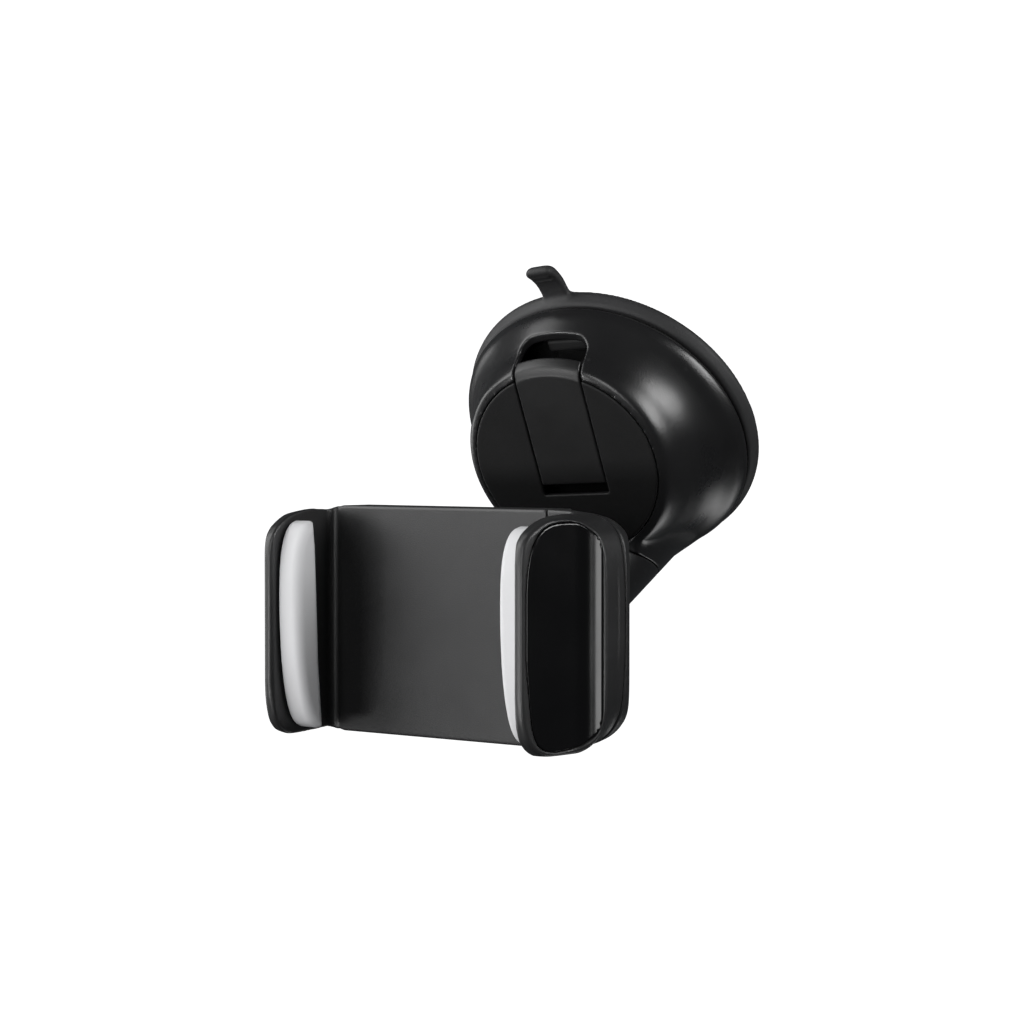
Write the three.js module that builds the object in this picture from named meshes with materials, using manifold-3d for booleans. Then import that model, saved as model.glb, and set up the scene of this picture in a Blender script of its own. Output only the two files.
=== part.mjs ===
// Car phone mount: a suction-cup base with a lock lever, a short arm with a
// ball joint, and a cradle whose right jaw slides against two springs.
// Millimetres, +Z up. The origin is the centre of the suction face; the phone
// faces -Y and the cradle's long side runs along X.
import * as THREE from 'three';
import { mergeVertices, mergeGeometries } from 'three/addons/utils/BufferGeometryUtils.js';
import Module from 'manifold-3d';

const wasm = await Module();
wasm.setup();
const { Manifold, Mesh: MMesh } = wasm;

// ---------------------------------------------------------------- dimensions
// base, in its own axes: x across the lever, y up the face, z away from glass
const BASE_YAW = 13.3;          // deg, base axis about Z
const BASE_PITCH = 35.4;        // deg, base axis below horizontal
const BASE_ROLL = 3.0;          // deg, base turned about its own axis
const CUP_R = 36.2;             // suction cup radius
const CUP_EDGE_H = 3.7;         // height of the cup's thick rim
const CUP_SKIN = 1.2;           // thickness of the cup's middle
const TAB_W = 6.8;              // pull tab width
const TAB_LEN = 9.7;            // pull tab reach past the rim
const TAB_TURN = 4.5;           // deg, pull tab off the base's centre line
const BELL_Z0 = 5.4;            // underside of the bell
const BELL_R = 35.0;            // bell radius at its rim
const BELL_WALL = 2.0;
const FACE_X = -0.8;            // centre of the round front face
const FACE_Y = 5.4;
const FACE_Z = 26.25;
const FACE_R = 23.0;
const FACE_TILT = 9.5;          // deg, front face leans towards the top
const LEVER_W = 16.4;
const LEVER_Y0 = -5.0;          // lever tip, from the face centre
const LEVER_T = 2.4;            // lever thickness
const FINGER_SLOT = 2.6;        // gap below the lever tip
const HINGE_Y = 24.5;           // lever pin
const HINGE_Z = 17.6;
const PIN_R = 1.2;
const ARM_Y = -21.0;            // arm axis
const ARM_R0 = 13.4;            // arm radius at z = 22
const ARM_R1 = 8.8;             // arm radius at z = 48
const SEAM_T = 0.3;             // gap at the arm's oblique parting line
const BALL_Z = 57.0;            // ball centre, along the arm axis
const BALL_R = 7.0;
const SEAT_IN = 7.3, SEAT_OUT = 8.3;
const SOCKET_IN = 8.6, SOCKET_OUT = 9.9;
const NUT_IN = 10.2, NUT_OUT = 12.4;
const LIP_ANGLE = 72;           // deg, half angle of the nut's mouth
// cradle, about its own centre: x to the sliding jaw, -y towards the phone
const CRADLE = [7.5, -60.3, -46.0];
const H = 25.8;                 // half height of the cradle
const BODY_L = -44.8, SEAM_X = 20.8, BODY_R = 40.6;
const WALL = 2.2, BACK_Y = 11.0, PART_Y = 2.5;
const JAW_L = -40.4, JAW_R = 30.2, JAW_TIP = -22.7;
const PAD_T = 6.0, PAD_Y0 = -20.2, PAD_Y1 = -12.6, PAD_Z0 = -24.0, PAD_Z1 = 22.9;
const ROD_Z = 16.0, ROD_Y = 6.2, ROD_R = 1.1;
const GAP = 0.3;

// -------------------------------------------------------------------- helpers
const D = Math.PI / 180;
function solid(g) {
  g = g.clone();
  for (const k of Object.keys(g.attributes)) if (k !== 'position') g.deleteAttribute(k);
  g = mergeVertices(g, 1e-4);
  return new Manifold(new MMesh({
    numProp: 3,
    vertProperties: new Float32Array(g.attributes.position.array),
    triVerts: new Uint32Array(g.index.array),
  }));
}
function geometry(m) {
  const q = m.getMesh();
  const g = new THREE.BufferGeometry();
  const n = q.numProp, v = q.vertProperties, p = new Float32Array(v.length / n * 3);
  for (let i = 0; i < v.length / n; i++) for (let k = 0; k < 3; k++) p[3 * i + k] = v[n * i + k];
  g.setAttribute('position', new THREE.BufferAttribute(p, 3));
  g.setIndex(new THREE.BufferAttribute(new Uint32Array(q.triVerts), 1));
  g.computeVertexNormals();
  return g;
}
const add = (...m) => m.reduce((a, b) => a.add(b));
const cut = (a, ...m) => m.reduce((x, y) => x.subtract(y), a);
const both = (...m) => m.reduce((a, b) => a.intersect(b));
function box(x0, x1, y0, y1, z0, z1) {
  const g = new THREE.BoxGeometry(x1 - x0, y1 - y0, z1 - z0);
  g.translate((x0 + x1) / 2, (y0 + y1) / 2, (z0 + z1) / 2);
  return solid(g);
}
// a lathe about z: pts are [radius, z], anticlockwise seen with z up
function lathe(pts, seg = 32, x = 0, y = 0) {
  const v = pts.map(p => new THREE.Vector2(p[0], p[1]));
  if (pts[0][0] > 1e-6) v.push(v[0].clone());
  const g = new THREE.LatheGeometry(v, seg);
  g.rotateX(Math.PI / 2);
  g.translate(x, y, 0);
  return fixed(g);
}
// turns a solid's faces outwards
function fixed(g) {
  let s = g.clone();
  for (const k of Object.keys(s.attributes)) if (k !== 'position') s.deleteAttribute(k);
  s = mergeVertices(s, 1e-4);
  const p = s.attributes.position, ix = s.index.array;
  const out = [];
  let vol = 0;
  const a = new THREE.Vector3(), b = new THREE.Vector3(), c = new THREE.Vector3();
  for (let i = 0; i < ix.length; i += 3) {
    if (ix[i] === ix[i + 1] || ix[i + 1] === ix[i + 2] || ix[i] === ix[i + 2]) continue;
    a.fromBufferAttribute(p, ix[i]); b.fromBufferAttribute(p, ix[i + 1]); c.fromBufferAttribute(p, ix[i + 2]);
    vol += a.dot(b.clone().cross(c));
    out.push(ix[i], ix[i + 1], ix[i + 2]);
  }
  if (vol < 0) for (let i = 0; i < out.length; i += 3) { const t = out[i]; out[i] = out[i + 1]; out[i + 1] = t; }
  return new Manifold(new MMesh({ numProp: 3, vertProperties: new Float32Array(p.array), triVerts: new Uint32Array(out) }));
}
function shape(pts) {
  const s = new THREE.Shape();
  s.setFromPoints(pts.map(p => new THREE.Vector2(p[0], p[1])));
  return s;
}
// rounded rectangle outline with its own radius at each corner
function roundRect(x0, x1, y0, y1, r, n = 5) {
  const [a, b, c, d] = Array.isArray(r) ? r : [r, r, r, r]; // x0y0, x1y0, x1y1, x0y1
  const out = [];
  const arc = (cx, cy, rx, ry, s) => {
    if (rx < 1e-6) { out.push([cx, cy]); return; }
    for (let i = 0; i <= n; i++) { const t = (s + 90 * i / n) * D; out.push([cx + rx * Math.cos(t), cy + ry * Math.sin(t)]); }
  };
  const e = v => Array.isArray(v) ? v : [v, v];
  arc(x0 + e(a)[0], y0 + e(a)[1], ...e(a), 180);
  arc(x1 - e(b)[0], y0 + e(b)[1], ...e(b), 270);
  arc(x1 - e(c)[0], y1 - e(c)[1], ...e(c), 0);
  arc(x0 + e(d)[0], y1 - e(d)[1], ...e(d), 90);
  return out;
}
function extrude(pts, depth) {
  return new THREE.ExtrudeGeometry(shape(pts), { depth, bevelEnabled: false, steps: 1 });
}
// outline in (x, y), raised along z
function alongZ(pts, z0, z1) { const g = extrude(pts, z1 - z0); g.translate(0, 0, z0); return fixed(g); }
// outline in (x, z), raised along y
function alongY(pts, y0, y1) {
  const g = extrude(pts, y1 - y0);
  g.rotateX(Math.PI / 2); g.translate(0, y1, 0);
  return fixed(g);
}
// outline in (y, z), raised along x
function alongX(pts, x0, x1) {
  const g = extrude(pts, x1 - x0);
  g.applyMatrix4(new THREE.Matrix4().set(0, 0, 1, x0, 1, 0, 0, 0, 0, 1, 0, 0, 0, 0, 0, 1));
  return fixed(g);
}
function rodX(r, x0, x1, y, z, seg = 12) {
  const g = new THREE.CylinderGeometry(r, r, x1 - x0, seg);
  g.rotateZ(Math.PI / 2); g.translate((x0 + x1) / 2, y, z);
  return solid(g);
}
function rodY(r, y0, y1, x, z, seg = 12, r2 = r) {
  const g = new THREE.CylinderGeometry(r2, r, y1 - y0, seg);
  g.translate(x, (y0 + y1) / 2, z);
  return solid(g);
}
function rodZ(r, z0, z1, x, y, seg = 24, r2 = r) {
  const g = new THREE.CylinderGeometry(r2, r, z1 - z0, seg);
  g.rotateX(Math.PI / 2); g.translate(x, y, (z0 + z1) / 2);
  return solid(g);
}
function ball(r, x, y, z, seg = 24) {
  const g = new THREE.SphereGeometry(r, seg, Math.round(seg / 2));
  g.translate(x, y, z);
  return fixed(g);
}
function turned(g, m4) { const c = g.clone(); c.applyMatrix4(m4); return c; }

const look = {
  shell: [0x1a1a1c, 0.5, 0.0], gloss: [0x0c0c0d, 0.16, 0.0], rubber: [0x202022, 0.75, 0.0],
  pad: [0xa9aaab, 0.7, 0.0], steel: [0xb9bcc0, 0.3, 1.0], black_steel: [0x2c2d30, 0.4, 0.9],
  nylon: [0xd8d6cc, 0.5, 0.0], inner: [0x2a2a2c, 0.55, 0.0], face: [0x161617, 0.6, 0.0],
};
const part = new THREE.Group();
function place(group, name, m, mat) {
  const [c, r, k] = look[mat];
  const mesh = new THREE.Mesh(geometry(m), new THREE.MeshStandardMaterial({ color: c, roughness: r, metalness: k }));
  mesh.name = name;
  group.add(mesh);
}

// ----------------------------------------------------------------------- base
const base = new THREE.Group();
{
  const b = BASE_YAW * D, e = BASE_PITCH * D, q = BASE_ROLL * D;
  const r = new THREE.Vector3(Math.cos(b), Math.sin(b), 0);
  const n = new THREE.Vector3(Math.sin(b) * Math.cos(e), -Math.cos(b) * Math.cos(e), -Math.sin(e));
  const t = n.clone().cross(r);
  const x = r.clone().multiplyScalar(Math.cos(q)).addScaledVector(t, Math.sin(q));
  const y = t.clone().multiplyScalar(Math.cos(q)).addScaledVector(r, -Math.sin(q));
  base.quaternion.setFromRotationMatrix(new THREE.Matrix4().makeBasis(x, y, n));
}
const SEG = 40;

// rubber cup with its pull tab
{
  const cup = lathe([[0, 0.8], [27.5, 0.8], [29.5, 0], [36.0, 0], [CUP_R, 0.6], [CUP_R - 0.1, 1.6],
    [35.5, 2.7], [34.7, CUP_EDGE_H], [30.0, CUP_EDGE_H], [29.2, 0.8 + CUP_SKIN], [0, 0.8 + CUP_SKIN]], SEG);
  const y0 = 33.5, y1 = CUP_R + TAB_LEN;
  const spine = [[y0, 0.25], [CUP_R, 0.25], [40.2, 0.6], [43.0, 1.6], [y1 - 0.7, 2.9], [y1, 4.1], [y1 - 0.6, 5.1],
    [y1 - 2.0, 4.9], [42.2, 3.7], [39.9, 2.6], [37.3, 2.2], [y0, 2.2]];
  const tab = alongX(spine, -TAB_W / 2, TAB_W / 2);
  const plan = alongZ(roundRect(-TAB_W / 2, TAB_W / 2, y0 - 1, y1 + 0.2, [0, 0, 2.4, 2.4], 4), -1, 8);
  let m = both(tab, plan);
  m = m.rotate([0, 0, TAB_TURN]);
  place(base, 'suction_cup', add(cup, m), 'rubber');
}
// ring between cup and bell
place(base, 'cup_ring', lathe([[30.4, 4.0], [34.0, 4.0], [34.0, 5.1], [30.4, 5.1]], SEG), 'inner');

// The bell is a lathe whose rings slide towards the round face and lean with
// it. Its top side bulges where the lever wraps over, its sides draw in.
const tiltK = Math.tan(FACE_TILT * D);
const sideR = [[BELL_Z0, 35.0], [7.0, 35.0], [8.6, 33.6], [11.0, 31.4], [14.5, 29.2], [18.5, 27.5], [22.5, 26.2], [25.0, 25.0], [26.25, 23.4]];
const topR = [[BELL_Z0, 35.0], [7.0, 35.0], [8.6, 34.6], [11.0, 33.6], [14.5, 31.6], [18.5, 29.0], [22.5, 26.8], [25.0, 25.0], [26.25, 23.4]];
function bellWarp(g, dr = 0) {
  const p = g.attributes.position;
  for (let i = 0; i < p.count; i++) {
    let x = p.getX(i), y = p.getY(i), z = p.getZ(i);
    const rad = Math.hypot(x, y), s = Math.min(1, Math.max(0, (z - 7) / (FACE_Z - 7)));
    const ss = s * (0.55 + 0.45 * s);
    if (rad > 1e-6) {
      const up = Math.max(0, y / rad), w = up * up * up;
      const f = c => { let k = 0; while (k < c.length - 2 && z > c[k + 1][0]) k++; const u = Math.min(1.3, Math.max(0, (z - c[k][0]) / (c[k + 1][0] - c[k][0]))); return c[k][1] + (c[k + 1][1] - c[k][1]) * u; };
      const gain = (f(topR) - f(sideR)) * w * (rad / f(sideR));
      x += x / rad * gain; y += y / rad * gain;
    }
    p.setXYZ(i, x + FACE_X * ss, y + FACE_Y * ss, z - tiltK * y * ss);
  }
  return g;
}
function bell(inset) {
  const pts = [[0, sideR[0][0]]];
  for (const [z, r] of sideR) pts.push([r - inset, z]);
  if (inset) { pts[1][1] = BELL_Z0 - 1; pts[0][1] = BELL_Z0 - 1; pts[pts.length - 1][1] -= inset; }
  pts.push([0, pts[pts.length - 1][1]]);
  const v = pts.map(p => new THREE.Vector2(p[0], p[1]));
  const g = new THREE.LatheGeometry(v, SEG);
  g.rotateX(Math.PI / 2);
  return fixed(bellWarp(g));
}
// everything on the leaning face is built about the face centre, then leaned
const leanM = (m, x = FACE_X) => m.rotate([-FACE_TILT, 0, 0]).translate([x, FACE_Y, FACE_Z]);

// arm outline about its own axis
const armR = z => ARM_R0 + (ARM_R1 - ARM_R0) * (z - 22) / 26;
function armCone(z0, z1, inset = 0, seg = 32) { return rodZ(armR(z0) - inset, z0, z1, 0, ARM_Y, seg, armR(z1) - inset); }
// half space beyond the oblique parting line, as a big slab
function beyond(off) {
  const s = box(-60, 60, -60, 60, 0, 90);
  return s.rotate([36, 0, 0]).translate([0, ARM_Y, 27.6 + off]);
}
{
  const outer = bell(0), inner = bell(BELL_WALL);
  const cone = armCone(6, 46);
  let m = cut(add(outer, cut(cone, beyond(0))), inner);
  // round seat for the face plate
  m = cut(m, cut(leanM(rodZ(FACE_R, -1.5, 3, 0, 0, SEG)), cone), cut(leanM(rodZ(FACE_R - 2.2, -6, 3, 0, 0, SEG)), cone));
  // arm root: a hollow cone up to the oblique parting line, with a web for
  // the arm screw
  m = cut(m, armCone(21, 47, 3.0, 24));
  m = add(m, cut(armCone(21, 24, 2.6, 24), rodZ(1.3, 10, 40, 0, ARM_Y, 12), beyond(0)));
  // opening that the lever's tail turns into
  const w = LEVER_W / 2 + 0.4;
  m = cut(m, box(-w, w, 18, 60, 12.8, 40));
  place(base, 'base_housing', m, 'shell');
}
// round face plate with the lever's slot and finger slot
{
  const w = LEVER_W / 2 + 0.35;
  let m = leanM(rodZ(FACE_R - 0.3, -1.2, 0, 0, 0, SEG));
  m = cut(m, leanM(box(-w, w, LEVER_Y0 - FINGER_SLOT, 40, -5, 5), 0), armCone(15, 46, -GAP, 32));
  place(base, 'face_plate', m, 'face');
}
// frame inside the bell: carries the lever pin and guides the stem
{
  let m = lathe([[0, 12.8], [26.0, 12.8], [26.0, 14.8], [0, 14.8]], 32);
  m = cut(m, rodZ(4.5, 10, 20, 0, 0, 20), box(-9.2, 9.2, 14, 40, 10, 20), rodZ(12, 10, 20, 0, -28, 24));
  for (const s of [-1, 1]) {
    const lug = box(s > 0 ? 9.4 : -11.4, s > 0 ? 11.4 : -9.4, 19.5, 27.0, 13.5, HINGE_Z + 2.6);
    m = add(m, lug);
  }
  m = cut(m, rodX(PIN_R + GAP, -20, 20, HINGE_Y, HINGE_Z, 16));
  m = both(m, bell(BELL_WALL + 0.35));
  place(base, 'inner_frame', m, 'inner');
}
place(base, 'lever_pin', rodX(PIN_R, -11.6, 11.6, HINGE_Y, HINGE_Z, 16), 'steel');
// lever: flush blade, tail that wraps over the shoulder, hub on the pin
{
  const c = Math.cos(FACE_TILT * D), s = Math.sin(FACE_TILT * D);
  const F = (v, h) => [FACE_Y + v * c + h * s, FACE_Z - v * s + h * c];   // on the face: v up, h out
  const outer = [F(LEVER_Y0, 0), F(20.5, 0), F(22.8, -0.5), [29.5, 21.2], [30.4, 20.0], [30.7, 19.2]];
  const inner = [[29.6, 18.3], [28.4, 19.2], F(20.0, -LEVER_T), F(LEVER_Y0 + 2.2, -LEVER_T), F(LEVER_Y0, -1.3)];
  let m = alongX([...outer, ...inner], -LEVER_W / 2, LEVER_W / 2);
  const hub = rodX(3.0, -LEVER_W / 2, LEVER_W / 2, HINGE_Y, HINGE_Z, 20);
  const web = alongX([[22.6, 23.5], [27.2, 22.5], [27.2, 18], [22.0, 18]], -LEVER_W / 2, LEVER_W / 2);
  m = cut(add(m, hub, web), rodX(PIN_R + GAP, -20, 20, HINGE_Y, HINGE_Z, 16));
  place(base, 'lock_lever', m, 'gloss');
}
// stem moulded into the cup's plate, with the foot that the lever works
{
  const z = 4.7;
  let m = add(rodZ(13, z, z + 1.6, 0, 0, 28), rodZ(4.0, z + 1, 17.5, 0, 0, 20), box(-5, 5, 8, 28.6, z, z + 2.4), box(-5, 5, 25.6, 28.6, z, 9.2));
  place(base, 'cup_stem', m, 'inner');
}
place(base, 'release_spring', lathe([[5.0, 6.7], [7.2, 6.7], [7.2, 12.4], [5.0, 12.4]], 20), 'steel');

// arm beyond the parting line, ending in the ball socket
{
  const sock = add(armCone(20, 50), ball(SOCKET_OUT, 0, ARM_Y, BALL_Z, 24));
  let m = both(sock, beyond(SEAM_T * 1.25));
  m = cut(m, ball(SOCKET_IN, 0, ARM_Y, BALL_Z, 24));
  m = cut(m, box(-30, 30, -60, 30, BALL_Z + 0.6, 90));
  // four slits let the nut close the socket
  for (const a of [0, 90]) m = cut(m, box(-0.7, 0.7, -16, 16, BALL_Z - 4.5, 80).rotate([0, 0, a]).translate([0, ARM_Y, 0]));
  // spigot that plugs into the arm root, and its screw hole
  m = add(m, both(armCone(26, 44, 3.4, 24), beyond(-3.2)));
  m = cut(m, rodZ(1.3, 20, 46, 0, ARM_Y, 12), rodZ(2.8, 42.1, 52, 0, ARM_Y, 14));
  place(base, 'arm_tip', m, 'shell');
}
// nylon seat behind the ball
{
  const pts = [];
  for (let a = 108; a <= 180; a += 12) pts.push([SEAT_IN * Math.sin(a * D), BALL_Z + SEAT_IN * Math.cos(a * D)]);
  for (let a = 180; a >= 108; a -= 12) pts.push([SEAT_OUT * Math.sin(a * D), BALL_Z + SEAT_OUT * Math.cos(a * D)]);
  pts.forEach(p => { if (p[0] < 1e-6) p[0] = 0; });
  const k = pts.findIndex(p => p[0] === 0);
  const order = [...pts.slice(k + 1), ...pts.slice(0, k + 1)];
  place(base, 'ball_seat', lathe(order, 20, 0, ARM_Y), 'nylon');
}
// collar nut: grips the socket and closes its mouth
{
  const a = LIP_ANGLE * D, r0 = (BALL_R + 0.35) * Math.sin(a), h0 = (BALL_R + 0.35) * Math.cos(a);
  const k = h0 / r0;
  const pts = [[NUT_IN, BALL_Z - 7.5], [NUT_OUT - 0.8, BALL_Z - 7.5], [NUT_OUT, BALL_Z - 6.7], [NUT_OUT, BALL_Z + NUT_OUT * k - 1.0],
    [NUT_OUT - 0.8, BALL_Z + (NUT_OUT - 0.8) * k - 0.2], [r0, BALL_Z + h0 - 0.02], [7.45, BALL_Z + 1.0], [NUT_IN, BALL_Z + 1.0]];
  let m = lathe(pts, 36, 0, ARM_Y);
  for (let i = 0; i < 12; i++) {
    const g = rodZ(1.1, BALL_Z - 9, BALL_Z + 9, 0, 0, 8).translate([NUT_OUT + 0.55, 0, 0]).rotate([0, 0, i * 30]).translate([0, ARM_Y, 0]);
    m = cut(m, g);
  }
  place(base, 'collar_nut', m, 'shell');
}
// screw, head at z1, point at z0, about x, y
function screwZ(x, y, z0, z1, r = 0.9, hr = 1.9, hh = 1.2) {
  return lathe([[0, z0], [r, z0 + 0.6], [r, z1 - hh], [hr, z1 - hh], [hr, z1], [0, z1]], 14, x, y);
}
place(base, 'arm_screw', screwZ(0, ARM_Y, 20.0, 44.0, 1.0, 2.4, 1.6), 'steel');
part.add(base);

// --------------------------------------------------------------------- cradle
const cradle = new THREE.Group();
cradle.position.set(...CRADLE);
// stud with the ball; its neck lies along y
const ballAt = new THREE.Vector3(0, ARM_Y, BALL_Z).applyQuaternion(base.quaternion).sub(new THREE.Vector3(...CRADLE));
const BX = ballAt.x, BY = ballAt.y, BZ = ballAt.z;
{
  let m = add(ball(BALL_R, BX, BY, BZ, 22), rodY(2.5, 12.6, BY, BX, BZ, 20), rodY(5.2, 12.8, 14.8, BX, BZ, 24, 3.4), rodY(2.0, 7.2, 13.0, BX, BZ, 16));
  place(cradle, 'ball_stud', m, 'gloss');
}
// holes for the four cover screws and their bosses
const screws = [[-37.5, 20.5], [-37.5, -20.5], [13.0, 22.2], [13.0, -22.2]];
const jawScrews = [[25.4, 20.2], [25.4, -20.2]];
// side outline of a jaw: full height at the plate, drawn in towards the tip
const jawSide = (top, low) => [[30, -H], ...low, ...top.slice().reverse(), [30, H]];
const jawOutline = jawSide(
  [[-4.4, H], [-9.9, H - 0.6], [-15.4, H - 1.7], [-19, H - 3.5], [-20.8, H - 5], [-22, H - 7.2], [JAW_TIP - 0.05, H - 11]],
  [[-12.2, -H], [-15.4, -H + 0.2], [-17.6, -H + 0.9], [-19.6, -H + 2.2], [-21, -H + 4.2], [-22.1, -H + 8.0], [JAW_TIP - 0.05, -H + 13]]);
const outlineL = (g = 0) => roundRect(BODY_L + g, SEAM_X, -H + g, H - g, [6 - g, 0, 0, 6 - g], 5);
const outlineR = (g = 0) => roundRect(SEAM_X + GAP, BODY_R - g, -H + g, H - g, [0, [13 - g, 14.5 - g], [10 - g, 10.5 - g], 0], 7);
const hollowR = x0 => roundRect(x0, BODY_R - 1.9, -H + 1.8, H - 1.8, [0, [11.1, 12.7], [8.1, 8.7], 0], 5);
// fixed half: front shell with the left jaw
{
  let m = alongY(outlineL(), 0, PART_Y + 2);
  m = cut(m, alongY(roundRect(BODY_L + 2, SEAM_X + 5, -H + 1.8, H - 1.8, [4, 0, 0, 4], 4), WALL, 20));
  const prof = [[JAW_L - 2.0, -1.8], [JAW_L - 1.5, -0.5], [JAW_L - 0.5, 0], [JAW_L - 0.5, 1.4], [BODY_L, 1.4], [BODY_L, -0.4], [-43.0, JAW_TIP + 1.6], [-42.6, JAW_TIP + 0.3], [-41.7, JAW_TIP], [-40.9, JAW_TIP + 0.2], [JAW_L, JAW_TIP + 1.3]];
  const jaw = both(alongZ(prof, -H, H), alongX(jawOutline, -60, 0), alongY(roundRect(BODY_L, 60, -H, H, [4, 0, 0, 4], 4), -40, 20));
  m = add(m, jaw);
  for (const [x, z] of screws) m = add(m, both(rodY(2.3, WALL - 0.4, 6.4, x, z, 14), alongY(outlineL(0.1), 0, 20)));
  for (const [x, z] of screws) m = cut(m, rodY(1.15, WALL, 20, x, z, 12));
  place(cradle, 'front_shell', m, 'shell');
}
// fixed half: back cover with the post that takes the stud
{
  let m = alongY(outlineL(), PART_Y + 2 + GAP, BACK_Y);
  m = cut(m, alongY(roundRect(BODY_L + 2, SEAM_X + 5, -H + 1.8, H - 1.8, [4, 0, 0, 4], 4), -2, BACK_Y - 2));
  m = add(m, rodY(8.5, BACK_Y - 1, 12.4, BX, BZ, 32, 7.6));
  // ribs that hold the guide rods
  for (const s of [-1, 1]) {
    const z = s * ROD_Z;
    m = add(m, box(-40.6, -38.6, ROD_Y - 1.2, BACK_Y - 1, z - 2.6, z + 2.6), box(17.4, 19.4, ROD_Y - 1.0, BACK_Y - 1, z - 2.6, z + 2.6));
    m = cut(m, rodX(ROD_R + GAP, -39.9, 30, ROD_Y, z, 12));
  }
  m = cut(m, box(SEAM_X - 3.5, SEAM_X - 1.2, 0, ROD_Y - 0.6, -30, -12), box(SEAM_X - 3.5, SEAM_X - 1.2, 0, ROD_Y - 0.6, 12, 30).intersect(box(0, 40, 0, 40, 12, H - 2)));
  for (const [x, z] of screws) m = cut(m, rodY(1.2, 0, 20, x, z, 12), rodY(2.3, BACK_Y - 1.2, 20, x, z, 14), rodY(2.7, 0, BACK_Y - 3.2, x, z, 14).intersect(box(-60, 60, 0, 6.8, -H + 1.0, H - 1.0)));
  m = cut(m, rodY(2.35, 0, 30, BX, BZ, 16));
  place(cradle, 'back_cover', m, 'shell');
}
// nut that keeps the stud in the back cover
{
  const hex = [];
  for (let i = 0; i < 6; i++) hex.push([BX + 3.9 * Math.cos(i * 60 * D), BZ + 3.9 * Math.sin(i * 60 * D)]);
  place(cradle, 'stud_nut', cut(alongY(hex, 6.2, 8.7), rodY(2.3, 0, 20, BX, BZ, 16)), 'steel');
}
for (const [i, [x, z]] of screws.entries()) {
  const g = new THREE.LatheGeometry([[0, 3.4], [0.9, 4.0], [0.9, BACK_Y - 1.5 + 0.5], [1.95, BACK_Y - 0.6], [1.95, BACK_Y - 0.15], [0, BACK_Y - 0.15]].map(p => new THREE.Vector2(...p)), 14);
  g.translate(x, 0, z);
  place(cradle, ['cover_screw_left_top', 'cover_screw_left_bottom', 'cover_screw_right_top', 'cover_screw_right_bottom'][i], fixed(g), 'black_steel');
}
// guide rods and springs
for (const [n, s] of [['upper', 1], ['lower', -1]]) {
  place(cradle, 'guide_rod_' + n, rodX(ROD_R, -39.6, 19.2, ROD_Y, s * ROD_Z, 12), 'steel');
  const tube = cut(rodX(2.1, -28.6, 17.1, ROD_Y, s * ROD_Z, 12), rodX(ROD_R + GAP, -40, 40, ROD_Y, s * ROD_Z, 12));
  place(cradle, 'jaw_spring_' + n, tube, 'steel');
}
// carriage: flat slide that runs on the rods and carries the right jaw
{
  let m = box(-35.0, 34.6, 2.7, 4.3, -12.0, 12.0);
  for (const s of [-1, 1]) {
    const z0 = s > 0 ? 11 : -19.5, z1 = s > 0 ? 19.5 : -11;
    m = add(m, box(-35.0, -29.0, 2.7, 8.5, z0, z1));
  }
  m = add(m, box(24.0, 34.6, 2.7, 4.3, -17, 17));
  m = cut(m, rodY(6.0, 0, 10, BX, BZ, 6).add(box(BX, BX + 24, 0, 10, BZ - 6, BZ + 6)));
  for (const s of [-1, 1]) m = cut(m, rodX(ROD_R + GAP, -60, 60, ROD_Y, s * ROD_Z, 12));
  place(cradle, 'slide_carriage', m, 'inner');
}
// soft pads
const padSide = [[-18.1, 20.4], [-16.4, 22.3], [-14.2, PAD_Z1], [-13.6, 17], [PAD_Y1, -9], [-11.3, PAD_Z0], [-13, -23.6], [-15.4, -22],
  [-17.4, -18.6], [-18.7, -14], [-19.7, -6], [PAD_Y0, 0], [PAD_Y0, 8], [-20.0, 13], [-19.4, 17]];
function pad(x0, x1) {
  const left = x0 < 0;
  const f = left ? x1 : x0, s = left ? 1 : -1;
  const b0 = left ? x0 : x1, b1 = left ? x0 - 0.75 : x1;   // the left jaw leans, the right one stands
  const prof = [[b0, PAD_Y0 - 1], [f - 2.2 * s, PAD_Y0 - 1], [f - 2.0 * s, PAD_Y0], [f - 0.6 * s, PAD_Y0 + 0.8], [f, PAD_Y0 + 2.4], [f, -11.9], [f - 0.6 * s, -11.2], [b1, -11.2]];
  return both(alongZ(prof, PAD_Z0, PAD_Z1), alongX(padSide, -60, 60));
}
place(cradle, 'left_pad', pad(JAW_L + GAP, JAW_L + GAP + PAD_T), 'pad');

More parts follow.
